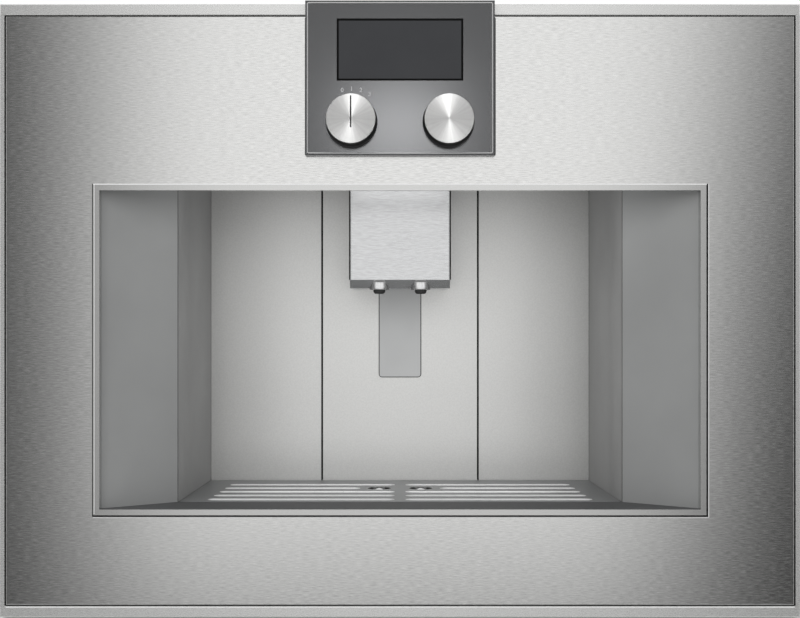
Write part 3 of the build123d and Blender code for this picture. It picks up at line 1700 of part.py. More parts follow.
# ------------------------------------------------------------------ water path
pump_back = pump_depth + pump_length
with BuildPart() as pump:
    with BuildSketch(front_plane(pump_depth)):
        with Locations((tank_x, pump_height)):
            Circle(pump_radius)
    extrude(amount=-pump_length)
    with BuildSketch(front_plane(pump_back)):
        with Locations((tank_x, pump_height)):
            Circle(pump_neck_radius)
    extrude(amount=-pump_neck_length)
    with BuildSketch(level_plane(pan_floor_top)):
        for foot_depth in (pump_depth + pump_foot_inset, pump_back - pump_foot_inset):
            with Locations((tank_x, foot_depth)):
                Rectangle(pump_radius, pump_foot_length)
    extrude(amount=pump_height - pump_radius)
pump.part.label = "pump"
export_step(pump.part, "parts/pump.step")

heater_front = frame_back + heater_standoff
heater_back = heater_front + heater_depth
heater_inlet_x = heater_width / 4
heater_outlet = heater_floor + heater_standoff + hose_radius
heater_middle = heater_front + heater_depth / 2
with BuildPart() as thermoblock:
    with BuildSketch(front_plane(heater_front)):
        with Locations((0, heater_floor + heater_height / 2)):
            Rectangle(heater_width, heater_height)
    extrude(amount=-heater_depth)
    with BuildSketch(front_plane(heater_back)):
        with Locations((0, heater_floor + heater_height / 2)):
            with GridLocations(heater_width / heater_fins, 0, heater_fins, 1):
                Rectangle(fin_width, heater_height)
    extrude(amount=fin_depth, mode=Mode.SUBTRACT)
    with BuildSketch(front_plane(heater_front)):
        with Locations((0, heater_floor + heater_height / 2)):
            with GridLocations(heater_width - 2 * post_inset, heater_height - 2 * post_inset, 2, 2):
                Circle(post_radius)
    extrude(amount=heater_standoff)
thermoblock.part.label = "thermoblock"
export_step(thermoblock.part, "parts/thermoblock.step")


def hose(points):
    """A hose along straight runs that are joined by tangent arcs."""
    with BuildPart() as tube:
        with BuildLine() as route:
            FilletPolyline(*points, radius=hose_bend)
        with BuildSketch(Plane(origin=route.line @ 0, z_dir=route.line % 0)):
            Circle(hose_radius)
            Circle(hose_radius / 2, mode=Mode.SUBTRACT)
        sweep()
    return tube


feed_hose = hose(
    (
        (tank_x, front_y + pump_back + pump_neck_length, pump_height),
        (tank_x, front_y + heater_middle, pump_height),
        (heater_inlet_x, front_y + heater_middle, pump_height),
        (heater_inlet_x, front_y + heater_middle, heater_floor),
    )
)
feed_hose.part.label = "feed_hose"
export_step(feed_hose.part, "parts/feed_hose.step")

brew_hose = hose(
    (
        (-heater_width / 2, front_y + heater_middle, heater_outlet),
        (grinder_x, front_y + heater_middle, heater_outlet),
        (grinder_x, front_y + heater_middle, brew_hose_height),
        (grinder_x, front_y + brew_back, brew_hose_height),
    )
)
brew_hose.part.label = "brew_hose"
export_step(brew_hose.part, "parts/brew_hose.step")

# ------------------------------------------------------------------ electrics
board_back = body_rear - case_wall
with BuildPart() as control_board:
    with BuildSketch(front_plane(board_back - power_board_standoff)):
        with Locations((0, power_board_floor + power_board_height / 2)):
            Rectangle(power_board_width, power_board_height)
    extrude(amount=board_wall)
    with BuildSketch(front_plane(board_back - power_board_standoff)):
        with Locations((0, power_board_floor + power_board_height / 2)):
            with GridLocations(
                power_board_width - 2 * post_inset, power_board_height - 2 * post_inset, 2, 2
            ):
                Circle(post_radius)
    extrude(amount=-power_board_standoff)
    with BuildSketch(front_plane(board_back - power_board_standoff - board_wall)):
        with Locations((0, power_board_floor + power_board_height / 2)):
            with GridLocations(relay_spacing, relay_spacing, 4, 2):
                Rectangle(relay_width, relay_height)
    extrude(amount=relay_depth)
control_board.part.label = "control_board"
export_step(control_board.part, "parts/control_board.step")

with BuildPart() as mains_inlet:
    with BuildSketch(front_plane(body_rear)):
        with Locations((inlet_offset, inlet_centre)):
            Rectangle(inlet_width, inlet_height)
    extrude(amount=inlet_cavity + box_wall)
    with BuildSketch(front_plane(board_back)):
        with Locations((inlet_offset, inlet_centre)):
            Rectangle(inlet_width + 2 * inlet_flange, inlet_height)
    extrude(amount=box_wall)
    with BuildSketch(front_plane(body_rear)) as socket:
        with Locations((inlet_offset, inlet_centre)):
            Rectangle(inlet_width - 2 * box_wall, inlet_height - 2 * box_wall)
        chamfer(socket.vertices().group_by(Axis.Z)[-1], length=2 * box_wall)
    extrude(amount=inlet_cavity, mode=Mode.SUBTRACT)
    with BuildSketch(front_plane(body_rear - inlet_cavity)):
        with Locations((inlet_offset, inlet_centre - box_wall)):
            with GridLocations(inlet_pin_spacing, 0, 2, 1):
                Rectangle(inlet_pin_wall, inlet_pin_width)
        with Locations((inlet_offset, inlet_centre + box_wall)):
            Rectangle(inlet_pin_wall, inlet_pin_width)
    extrude(amount=box_wall - inlet_cavity)
mains_inlet.part.label = "mains_inlet"
export_step(mains_inlet.part, "parts/mains_inlet.step")
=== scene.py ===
# %% [markdown]
# # Dressing a built-in coffee machine
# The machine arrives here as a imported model: every sheet, tub and screw already has its real size and
# place. What is missing is its look. This lesson gives each surface a finish, turns a few round pieces
# afresh so that their edges are smooth, adds the thin beads and seals that a rigid model leaves out,
# prints the figures round the dial, and sets up the studio.

# %% Load the machine
import math

import bmesh
import bpy
import numpy as np
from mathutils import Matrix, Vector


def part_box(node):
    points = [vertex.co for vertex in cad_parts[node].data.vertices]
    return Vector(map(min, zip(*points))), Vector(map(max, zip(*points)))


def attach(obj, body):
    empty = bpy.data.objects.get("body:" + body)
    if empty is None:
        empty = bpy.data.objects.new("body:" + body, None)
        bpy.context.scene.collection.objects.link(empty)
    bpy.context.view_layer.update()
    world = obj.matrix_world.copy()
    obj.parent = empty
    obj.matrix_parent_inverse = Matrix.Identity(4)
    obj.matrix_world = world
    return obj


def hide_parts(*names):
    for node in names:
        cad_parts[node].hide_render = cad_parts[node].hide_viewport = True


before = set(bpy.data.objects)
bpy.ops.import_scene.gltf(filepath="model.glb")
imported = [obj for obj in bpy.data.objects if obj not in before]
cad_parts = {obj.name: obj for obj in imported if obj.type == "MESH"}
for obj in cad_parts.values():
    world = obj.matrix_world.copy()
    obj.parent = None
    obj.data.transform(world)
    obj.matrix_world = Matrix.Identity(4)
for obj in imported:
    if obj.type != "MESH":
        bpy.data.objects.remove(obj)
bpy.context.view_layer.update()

scene = bpy.context.scene
print("pieces in the packed model:", len(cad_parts))

# %% [markdown]
# ## The camera
# The photograph looks straight at the front, from a little over a metre away. Two ways lead to such a
# camera: turn it by eye until the picture fits, or work it out. The front is 590 mm wide and fills the
# picture from edge to edge, so the lens follows from the distance alone. The distance shows in the cup
# niche: the further the camera stands, the less its side walls are seen.

# %% Place the camera
SENSOR = 36.0              # millimetres; every other length in this lesson is in metres
CAMERA_DISTANCE = 1.209
EYE_HEIGHT = 0.2292
NEAREST_SEEN = 0.05

front_low, front_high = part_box("door_rails")
front_y = front_low.y
front_width = front_high.x - front_low.x

camera_data = bpy.data.cameras.new("portrait_camera")
camera_data.sensor_fit = "HORIZONTAL"
camera_data.sensor_width = SENSOR
camera_data.lens = SENSOR * CAMERA_DISTANCE / front_width
camera_data.clip_start = NEAREST_SEEN
camera = bpy.data.objects.new("portrait_camera", camera_data)
scene.collection.objects.link(camera)
camera.location = (0.0, front_y - CAMERA_DISTANCE, EYE_HEIGHT)
camera.rotation_euler = (math.pi / 2, 0.0, 0.0)
scene.camera = camera
print("front", round(front_width, 3), "m wide, lens", round(camera_data.lens, 2), "mm")

# %% [markdown]
# ## The studio
# Brushed steel has hardly a colour of its own: it shows the room. In the photograph the middle of the
# sheet is bright and its sides fall off, so the room is one broad upright soft light behind the camera
# between darker walls. A picture wrapped round the scene could be such a room, or panels built round the
# machine. Here the world works the brightness out of the direction alone, in a few steps of arithmetic,
# because then one number moves a wall. The helpers write such a step in one line.

# %% Helpers for node trees
def add(tree, kind, values=None, **settings):
    """Adds a node, sets its properties and the values of its sockets by name or number."""
    made = tree.nodes.new(kind)
    for key, value in settings.items():
        setattr(made, key, value)
    for key, value in (values or {}).items():
        made.inputs[key].default_value = value
    return made


def plug(tree, value, socket):
    """Sets a number on a socket, or links an output to it."""
    if isinstance(value, (int, float)):
        socket.default_value = value
    else:
        tree.links.new(value, socket)


def maths(tree, operation, *values):
    """One step of arithmetic on numbers or outputs."""
    made = add(tree, "ShaderNodeMath", operation=operation)
    for socket, value in zip(made.inputs, values):
        plug(tree, value, socket)
    return made.outputs[0]


def choose(tree, share, off, on):
    """The value off where the share is 0 and the value on where it is 1."""
    made = add(tree, "ShaderNodeMix", data_type="FLOAT")
    for name, value in (("A", off), ("B", on), ("Factor", share)):
        plug(tree, value, made.inputs[name])
    return made.outputs["Result"]


def ramp_between(tree, value, low, high, to_low=0.0, to_high=1.0):
    """Smooth step from to_low to to_high while the value goes from low to high."""
    span = {"From Min": low, "From Max": high, "To Min": to_low, "To Max": to_high}
    made = add(tree, "ShaderNodeMapRange", span, interpolation_type="SMOOTHSTEP")
    tree.links.new(value, made.inputs["Value"])
    return made.outputs["Result"]


# %% [markdown]
# ## The room's bands
# Eight bright upright bands stand round the room. One is straight behind the camera and the next ones
# are round the corner, so that other views find one too. A band is where the cosine of eight times the
# compass direction is high, and it leans and swells a little with height, as the sheet's light does in
# the photograph. Beyond what the front view shows, the ground is pale and the walls between the bands
# are paler, so that no side of the machine shows a black room.

# %% World of soft bands
BANDS = 8                     # bright bands round the room
BAND_SPAN = (-0.52, 0.72)     # cosines between which a band rises from dark to bright
BAND_TILT = 0.06              # a band leans this far to the right as it climbs, in radians
BAND_SWELL = 0.5              # and gets wider, as a share of the cosine
BAND_FOOT = (-0.24, -0.12)    # heights between which a band comes up out of the dark
BAND_BRIGHT = 1.08
ROOM_DARK = 0.02
GROUND_SPAN = (-0.30, -0.40)  # further down than the front view looks
GROUND_BRIGHT = 0.62
GAP_SPAN = (0.29, 0.46)       # radians from straight behind the camera, wider than the front view looks
GAP_BRIGHT = 0.26

world = bpy.data.worlds.new("studio")
scene.world = world
scene.view_settings.view_transform = "Standard"
world.use_nodes = True
world.cycles.sampling_method = "NONE"
tree = world.node_tree
tree.nodes.clear()
direction = add(tree, "ShaderNodeSeparateXYZ")
tree.links.new(add(tree, "ShaderNodeTexCoord").outputs["Generated"], direction.inputs[0])
height = direction.outputs["Z"]
toward_camera = maths(tree, "MULTIPLY", direction.outputs["Y"], -1.0)
azimuth = maths(tree, "ARCTAN2", direction.outputs["X"], toward_camera)
upright = maths(tree, "SUBTRACT", azimuth, maths(tree, "MULTIPLY", height, BAND_TILT))
wave = maths(tree, "COSINE", maths(tree, "MULTIPLY", upright, BANDS))
wave = maths(tree, "ADD", wave, maths(tree, "MULTIPLY", height, BAND_SWELL))
band = ramp_between(tree, wave, *BAND_SPAN)
room = maths(tree, "MULTIPLY", band, ramp_between(tree, height, *BAND_FOOT))
room = maths(tree, "MULTIPLY_ADD", room, BAND_BRIGHT - ROOM_DARK, ROOM_DARK)
ground = ramp_between(tree, height, *GROUND_SPAN, 0.0, GROUND_BRIGHT)
room = maths(tree, "MAXIMUM", room, ground)
gap = ramp_between(tree, maths(tree, "ABSOLUTE", azimuth), *GAP_SPAN, 0.0, GAP_BRIGHT)
room = maths(tree, "MAXIMUM", room, gap)
print("bright bands round the room:", BANDS)

# %% [markdown]
# ## What each ray meets
# A real studio has one room for everything. A rendered one can be kinder: a mirror-like ray meets the
# bands, a dull surface is lit by one even brightness, and the camera, also through clear plastic, sees a
# pale backdrop. The world asks for the kind of ray and chooses.

# %% Choose by the kind of ray
EVEN_LIGHT = 0.74           # what dull surfaces are lit by
BACKDROP = 1.0

rays = add(tree, "ShaderNodeLightPath")
lit = choose(tree, rays.outputs["Is Glossy Ray"], EVEN_LIGHT, room)
see_through = maths(tree, "MAXIMUM", rays.outputs["Is Camera Ray"], rays.outputs["Is Transmission Ray"])
seen = choose(tree, see_through, lit, BACKDROP)
background = add(tree, "ShaderNodeBackground")
tree.links.new(seen, background.inputs["Color"])
output = add(tree, "ShaderNodeOutputWorld")
tree.links.new(background.outputs[0], output.inputs["Surface"])
print("nodes in the world:", len(tree.nodes))

# %% [markdown]
# ## The key light
# The photograph's main light comes from above and a little from the left, and is so soft that no shadow
# has a hard edge. A sun would cut too sharply. A square area lamp more than twice as wide as the front
# does it, and it stays out of the steel, where the room's bands are already bright.

# %% Key light from above
def soft_lamp(name, place, target, size, watts, in_steel=False):
    """A rectangular soft lamp at a place, turned towards a target; steel shows it only if asked to."""
    data = bpy.data.lights.new(name, "AREA")
    data.shape = "RECTANGLE"
    data.size, data.size_y = size
    data.energy = watts
    lamp = bpy.data.objects.new(name, data)
    scene.collection.objects.link(lamp)
    lamp.location = place
    away = np.array(target, float) - np.array(place, float)
    flat = math.hypot(away[0], away[1])
    lamp.rotation_euler = (math.atan2(flat, -away[2]), 0.0, math.atan2(-away[0], away[1]))
    lamp.visible_camera = False
    lamp.visible_glossy = in_steel
    print(name, "of", round(watts, 2), "watts")
    return lamp


def lit_alone(lamp, name, pieces):
    """Lets a lamp light the given pieces and nothing else."""
    receivers = bpy.data.collections.new(name)
    for piece in pieces:
        receivers.objects.link(piece)
    lamp.light_linking.receiver_collection = receivers


soft_lamp("key_lamp", place=(-0.35, -2.1, 1.10), target=(0.0, 0.0, 0.2), size=(1.4, 1.4), watts=17.0)

# %% [markdown]
# ## Cards in the cup niche
# A niche is a cave that the studio's light hardly reaches, and a photographer fills it with white cards.
# Each card is a flat lamp here, with a power that gives it a set radiance whatever its size. Some show in
# the steel, some only light what is dull, and the two before the spout light its cover alone, one of
# them as a narrow bright strip along the cover's top.

# %% Cards in front of the niche
INTO_NICHE = 0.3
back_low, back_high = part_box("niche_back_panels")
niche_middle = (back_low.z + back_high.z) / 2
niche_height = back_high.z - back_low.z
# name, width, height, middle's height, place behind the front, radiance, whether steel shows it
CARDS = (
    ("niche_fill", 0.33, niche_height, niche_middle, 0.046, 0.55, False),
    ("niche_card", 0.25, niche_height, niche_middle, 0.100, 0.50, True),
    ("spout_card", 0.12, niche_height, niche_middle, 0.090, 0.35, True),
    ("spout_top_card", 0.084, 0.012, 0.327, 0.116, 9.0, False),
    ("mouth_card", 0.33, 0.020, 0.300, 0.004, 1.50, False),
)
cards = {}
for card_name, card_width, card_height, card_z, card_depth, radiance, in_steel in CARDS:
    card_place = (0.0, front_y + card_depth, card_z)
    card_watts = radiance * math.pi * card_width * card_height
    cards[card_name] = soft_lamp(
        card_name, card_place, (0.0, INTO_NICHE, card_z), (card_width, card_height), card_watts, in_steel
    )
for card_name in ("spout_card", "spout_top_card"):
    lit_alone(cards[card_name], card_name + "_receivers", [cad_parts["spout_cover"]])

# %% [markdown]
# ## The floor
# A pale floor catches the machine's shadow. A plain sheet would end in a horizon in a low view. A curved
# backdrop could hide it, but would stand in the way of a camera behind the machine. So far out the floor
# fades away: its shader is mixed with a clear one by the distance from the middle, and the pale world
# shows through.

# %% Lay the floor
FLOOR_HALF = 30.0
FLOOR_PALE = (0.84, 0.84, 0.835, 1.0)
FLOOR_ROUGHNESS = 0.9
FLOOR_FADE = (1.1, 4.5)     # distances from the middle between which the floor fades away

floor_mesh = bpy.data.meshes.new("studio_floor")
square = ((-1, -1), (1, -1), (1, 1), (-1, 1))
floor_mesh.from_pydata([(a * FLOOR_HALF, b * FLOOR_HALF, 0.0) for a, b in square], [], [(0, 1, 2, 3)])
floor = bpy.data.objects.new("studio_floor", floor_mesh)
scene.collection.objects.link(floor)

floor_finish = bpy.data.materials.new("pale_floor")
floor_finish.use_nodes = True
tree = floor_finish.node_tree
floor_shader = tree.nodes["Principled BSDF"]
floor_shader.inputs["Base Color"].default_value = FLOOR_PALE
floor_shader.inputs["Roughness"].default_value = FLOOR_ROUGHNESS
floor_shader.inputs["Specular IOR Level"].default_value = 0.0
distance = add(tree, "ShaderNodeVectorMath", operation="LENGTH")
tree.links.new(add(tree, "ShaderNodeTexCoord").outputs["Object"], distance.inputs[0])
fade = add(tree, "ShaderNodeMixShader")
tree.links.new(ramp_between(tree, distance.outputs["Value"], *FLOOR_FADE), fade.inputs[0])
tree.links.new(floor_shader.outputs[0], fade.inputs[1])
tree.links.new(add(tree, "ShaderNodeBsdfTransparent").outputs[0], fade.inputs[2])
tree.links.new(fade.outputs[0], tree.nodes["Material Output"].inputs["Surface"])
floor_mesh.materials.append(floor_finish)
floor.visible_glossy = False        # steel shows the room's bands below the horizon too
print("floor fades away between", *FLOOR_FADE, "m")

# %% [markdown]
# ## Finishes
# A finish could be a photographed texture, but such a picture stretches on a curved piece and fixes the
# scale. Here each one is a small recipe of nodes on Object coordinates, which are metres, so a scale of
# 900 means 900 grains to the metre on every piece. A pattern can vary the colour, the roughness and a
# very shallow relief, and one helper does each.

# %% Helpers for finishes
CLOUDINESS = 0.55      # how much each finer layer of a noise adds


def new_finish(name):
    """A material, its node tree and its Principled shader."""
    finish = bpy.data.materials.new(name)
    finish.use_nodes = True
    return finish, finish.node_tree, finish.node_tree.nodes["Principled BSDF"]


def placed(tree, scale):
    """Object coordinates times a scale in grains per metre: one number, or one for each axis."""
    scale = scale if isinstance(scale, tuple) else (scale,) * 3
    mapping = add(tree, "ShaderNodeMapping", {"Scale": scale})
    tree.links.new(add(tree, "ShaderNodeTexCoord").outputs["Object"], mapping.inputs["Vector"])
    return mapping.outputs[0]


def grain(tree, scale, detail=3.0):
    """Noise at a scale in grains per metre."""
    texture = add(tree, "ShaderNodeTexNoise", {"Scale": 1.0, "Detail": detail, "Roughness": CLOUDINESS})
    tree.links.new(placed(tree, scale), texture.inputs["Vector"])
    return texture.outputs["Fac"]


def vary_colour(tree, shader, pattern, dark, light):
    """Sends a pattern through a two-colour ramp into the base colour."""
    ramp = add(tree, "ShaderNodeValToRGB")
    for stop, place, colour in zip(ramp.color_ramp.elements, (0.3, 0.7), (dark, light)):
        stop.position = place
        stop.color = (*colour, 1.0)
    tree.links.new(pattern, ramp.inputs["Fac"])
    tree.links.new(ramp.outputs["Color"], shader.inputs["Base Color"])


def vary_roughness(tree, shader, pattern, low, high):
    """Lets a pattern move the roughness between two values."""
    span = {"From Min": 0.25, "From Max": 0.75, "To Min": low, "To Max": high}
    made = add(tree, "ShaderNodeMapRange", span)
    tree.links.new(pattern, made.inputs["Value"])
    tree.links.new(made.outputs["Result"], shader.inputs["Roughness"])


def emboss(tree, shader, pattern, depth):
    """Raises the surface by a depth in metres where the pattern is high."""
    bump = add(tree, "ShaderNodeBump", {"Strength": 1.0, "Distance": depth})
    tree.links.new(pattern, bump.inputs["Height"])
    tree.links.new(bump.outputs["Normal"], shader.inputs["Normal"])


def tint(colour, factor):
    """The same colour, lighter or darker."""
    return tuple(min(1.0, channel * factor) for channel in colour)


def dress(finish, *names):
    """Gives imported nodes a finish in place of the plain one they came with."""
    for name in names:
        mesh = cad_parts[name].data
        mesh.materials.clear()
        mesh.materials.append(finish)
    print(finish.name, "on", ", ".join(names))


# %% [markdown]
# ## Brushed and blasted steel
# A belt brushes steel in one direction. The noise is stretched hard that way, and the shader's anisotropy
# draws the shine out across it. Blasted steel has the same fine grain in every direction, so it needs
# neither. In both, one pattern moves the colour, the roughness and a relief that is at most a few
# hundredths of a millimetre deep.

# %% Recipes for steel
ALONG = 180.0        # grains per metre along the brushing
ACROSS = 1700.0      # grains per metre across it
BLASTED = 900.0      # grains per metre of a blasted surface
ROUGHNESS_SWING = 0.03
QUARTER_TURN = 0.25  # turns the shine from along the tangent to across it


def brushed_steel(name, colour, roughness, anisotropy, contrast=0.14, depth=4e-6, metallic=1.0):
    """Steel brushed from side to side: noise stretched along x, and a shine drawn out across it."""
    finish, tree, shader = new_finish(name)
    lines = grain(tree, (ALONG, ACROSS, ACROSS), detail=1.5)
    vary_colour(tree, shader, lines, tint(colour, 1 - contrast), tint(colour, 1 + contrast))
    vary_roughness(tree, shader, lines, roughness - ROUGHNESS_SWING, roughness + ROUGHNESS_SWING)
    emboss(tree, shader, lines, depth)
    shader.inputs["Metallic"].default_value = metallic
    shader.inputs["Anisotropic"].default_value = anisotropy
    shader.inputs["Anisotropic Rotation"].default_value = QUARTER_TURN
    return finish


def satin_steel(name, colour, roughness, metallic=0.4, contrast=0.03, depth=1.2e-5):
    """Steel with a fine blasted grain that has no direction."""
    finish, tree, shader = new_finish(name)
    specks = grain(tree, BLASTED, detail=2.0)
    vary_colour(tree, shader, specks, tint(colour, 1 - contrast), tint(colour, 1 + contrast))
    vary_roughness(tree, shader, specks, roughness - ROUGHNESS_SWING, roughness + ROUGHNESS_SWING)
    emboss(tree, shader, specks, depth)
    shader.inputs["Metallic"].default_value = metallic
    return finish


# %% [markdown]
# ## The front's steel
# The brushing shows most on the big sheet. On the rails round it and on the niche's trim it is faint, and
# the spout's cover is darker, because it stands in the niche. The panels behind the spout and the drip
# grid are blasted. The same steel everywhere would be simpler, but the photograph shows six brightnesses
# side by side, so each has its own numbers.

# %% Dress the front's steel
front_steel = brushed_steel("front_steel", (0.700, 0.700, 0.690), 0.16, anisotropy=0.75)
rail_steel = brushed_steel(
    "rail_steel", (0.740, 0.740, 0.730), 0.28, anisotropy=0.6, contrast=0.02, depth=5e-7, metallic=0.78
)
trim_steel = brushed_steel(
    "trim_steel", (0.620, 0.620, 0.610), 0.18, anisotropy=0.75, contrast=0.03, depth=1e-6
)
spout_steel = brushed_steel(
    "spout_steel", (0.330, 0.333, 0.335), 0.17, anisotropy=0.0, contrast=0.10, metallic=0.75
)
niche_steel = satin_steel("niche_steel", (0.660, 0.660, 0.648), 0.44, metallic=0.9, contrast=0.05)
grid_steel = satin_steel("grid_steel", (0.215, 0.220, 0.222), 0.42, metallic=0.3)
dress(front_steel, "front_panel")
dress(rail_steel, "door_rails")
dress(trim_steel, "niche_trim")
dress(spout_steel, "spout_cover")
dress(niche_steel, "niche_back_panels")
dress(grid_steel, "drip_grid")

# %% [markdown]
# ## Moulded plastic and rubber
# The liner that leads into the niche, the niche's walls and all that is black are moulded. The mould is
# eroded by sparks, which leaves a fine skin of grains, and the melt flows unevenly, which leaves faint
# clouds. The skin goes into roughness and relief and the clouds into the colour. Rubber is the same with
# less shine.

# %% Recipe for plastic, and dress what is moulded
CLOUDS = 14.0        # clouds per metre
SKIN = 1400.0        # grains per metre of the mould's skin
SKIN_SWING = 0.06


def moulded(name, colour, roughness, contrast=0.05, depth=1.5e-5):
    """Moulded plastic: an even colour, a fine spark-eroded texture and faint clouds."""
    finish, tree, shader = new_finish(name)
    clouds = grain(tree, CLOUDS)
    vary_colour(tree, shader, clouds, tint(colour, 1 - contrast), tint(colour, 1 + contrast))
    skin = grain(tree, SKIN, detail=2.0)
    vary_roughness(tree, shader, skin, roughness - SKIN_SWING, roughness + SKIN_SWING)
    emboss(tree, shader, skin, depth)
    return finish


def less_shine(finish, level):
    """Lowers what a dull finish mirrors; 0.5 is the shader's own level."""
    finish.node_tree.nodes["Principled BSDF"].inputs["Specular IOR Level"].default_value = level


liner_grey = moulded("liner_grey", (0.270, 0.274, 0.273), 0.55)
niche_grey = moulded("niche_grey", (0.250, 0.250, 0.248), 0.5, contrast=0.08)
guide_grey = moulded("guide_grey", (0.360, 0.364, 0.364), 0.45)
black_plastic = moulded("black_plastic", (0.012, 0.012, 0.013), 0.5)
soft_black = moulded("soft_black", (0.010, 0.010, 0.010), 0.7, depth=3e-5)
grey_plastic = moulded("grey_plastic", (0.26, 0.26, 0.27), 0.5)
gasket_black = moulded("gasket_black", (0.004, 0.004, 0.004), 0.8)
less_shine(gasket_black, 0.1)
dress(liner_grey, "door_liner", "brew_cover")
dress(niche_grey, "niche_sides", "niche_ceiling")
dress(guide_grey, "spout_guide_plate", "niche_lamps")
dress(
    black_plastic, "front_bulkhead", "niche_back_carrier", "control_housing", "knob_collars", "door_magnets",
    "spout_core", "drip_tray", "grounds_container", "grinder_housing", "pump", "mains_inlet",
)
dress(gasket_black, "display_gasket")
dress(
    grey_plastic, "tray_shelf", "left_bay_rack", "tank_rack", "brew_unit", "brew_piston", "spout_carriage",
    "water_tank_lid",
)

# %% [markdown]
# ## The control unit
# Its cover is a smooth dark metal with a tiny flake in it, and the display is nearly black glass. Both
# are so smooth that the pattern hardly shows from a step away. It is there because nothing real is one
# flat colour, and a near view would tell.

# %% Dress the control unit
fascia_finish, tree, shader = new_finish("fascia_metal")
flake = grain(tree, 2200.0, detail=1.0)
vary_colour(tree, shader, flake, (0.086, 0.087, 0.089), (0.094, 0.095, 0.097))
vary_roughness(tree, shader, flake, 0.15, 0.18)
shader.inputs["Metallic"].default_value = 0.9
dress(fascia_finish, "control_fascia")

glass_finish, tree, shader = new_finish("screen_glass")
haze = grain(tree, 30.0)
vary_colour(tree, shader, haze, (0.0150, 0.0165, 0.0200), (0.0190, 0.0205, 0.0240))
shader.inputs["Roughness"].default_value = 0.25
dress(glass_finish, "display_glass")

# %% [markdown]
# ## The case and what it holds
# The case is folded from galvanised sheet. Zinc sets in flat crystals, which show as a patchwork of
# slightly different greys, so its pattern is cells and not clouds. What the case holds shows only when
# the door is open and through the vents, and gets the plain recipes.

# %% Dress the metals inside
SPANGLES = 120.0     # zinc crystals per metre
case_finish, tree, shader = new_finish("case_steel")
cells = add(tree, "ShaderNodeTexVoronoi", {"Scale": 1.0}, feature="F1")
tree.links.new(placed(tree, SPANGLES), cells.inputs["Vector"])
vary_colour(tree, shader, cells.outputs["Color"], (0.50, 0.51, 0.52), (0.55, 0.56, 0.57))
vary_roughness(tree, shader, cells.outputs["Color"], 0.40, 0.45)
shader.inputs["Metallic"].default_value = 1.0
dress(
    case_finish, "base_pan", "side_panels", "rear_panel", "top_cover", "inner_frame", "hinge_arms",
    "grinder_motor",
)
polished_steel = satin_steel("polished_steel", (0.72, 0.72, 0.72), 0.12, depth=2e-6)
dress(polished_steel, "catch_plates", "spout_guide")
dress(satin_steel("heater_aluminium", (0.62, 0.62, 0.63), 0.5, depth=4e-5), "thermoblock")
dress(satin_steel("burr_steel", (0.30, 0.30, 0.31), 0.35), "ring_burr", "cone_burr")
dress(satin_steel("bush_brass", (0.70, 0.53, 0.25), 0.3), "hinge_bushes")
dress(moulded("hose_silicone", (0.62, 0.62, 0.60), 0.4), "feed_hose", "brew_hose")
dress(moulded("board_green", (0.02, 0.12, 0.06), 0.35), "control_board", "display_board")

# %% [markdown]
# ## Clear plastic
# The water tank and the bean hopper are clear, so that one sees how full they are. A half transparent
# paint would look like fog. Light has to go through the plastic and be bent by it, which is what the
# shader's transmission does, and the colour tints what comes through.

# %% Dress the tank and the hopper
RIPPLES = 60.0       # faint flow marks per metre
PLASTIC_BENDS = 1.49
LIGHT_THROUGH = 0.92


def clear_plastic(name, colour, roughness):
    """Clear moulded plastic: light goes through it and takes its tint."""
    finish, tree, shader = new_finish(name)
    vary_colour(tree, shader, grain(tree, RIPPLES), tint(colour, 0.97), colour)
    shader.inputs["Roughness"].default_value = roughness
    shader.inputs["Transmission Weight"].default_value = LIGHT_THROUGH
    shader.inputs["IOR"].default_value = PLASTIC_BENDS
    return finish


dress(clear_plastic("tank_clear", (0.80, 0.87, 0.90), 0.08), "water_tank")
dress(clear_plastic("smoke_plastic", (0.30, 0.25, 0.21), 0.1), "bean_hopper")

# %% [markdown]
# ## Round pieces, turned afresh
# A CAD export shows a circle as a ring of flat facets. From near by that spoils a knob, whose rim and
# spun face catch every light. Such a piece is easy to work out as a surface instead: a profile of radius
# and height, turned about an axis. Two numbers name each point on it, the angle and the place along the
# profile, so numpy makes the whole piece as one grid of points, and the mesh is the grid's squares.
# A real maker does the same on a lathe.

# %% Helpers for surfaces on a grid
SAME_PLACE = 1e-7     # points nearer than this are one
SHARP_ANGLE = 35.0    # a fold of more degrees stays a crisp edge


def grid_mesh(name, grids, wrap):
    """A mesh out of grids of points, each of shape rows by columns by 3.

    A square joins four neighbours, and where a direction wraps, its last row also joins its first.
    Points that share a place, as at a pole, are merged, and the faces are turned outwards."""
    points, squares, start = [], [], 0
    for grid in grids:
        rows, columns = grid.shape[:2]
        number = start + np.arange(rows * columns).reshape(rows, columns)
        if wrap[0]:
            number = np.vstack([number, number[:1]])
        if wrap[1]:
            number = np.hstack([number, number[:, :1]])
        corners = (number[:-1, :-1], number[1:, :-1], number[1:, 1:], number[:-1, 1:])
        squares.append(np.stack(corners, axis=-1).reshape(-1, 4))
        points.append(grid.reshape(-1, 3))
        start += rows * columns
    mesh = bpy.data.meshes.new(name)
    mesh.from_pydata(np.concatenate(points).tolist(), [], np.concatenate(squares).tolist())
    merged = bmesh.new()
    merged.from_mesh(mesh)
    bmesh.ops.remove_doubles(merged, verts=merged.verts, dist=SAME_PLACE)
    bmesh.ops.recalc_face_normals(merged, faces=merged.faces)
    merged.to_mesh(mesh)
    merged.free()
    return mesh


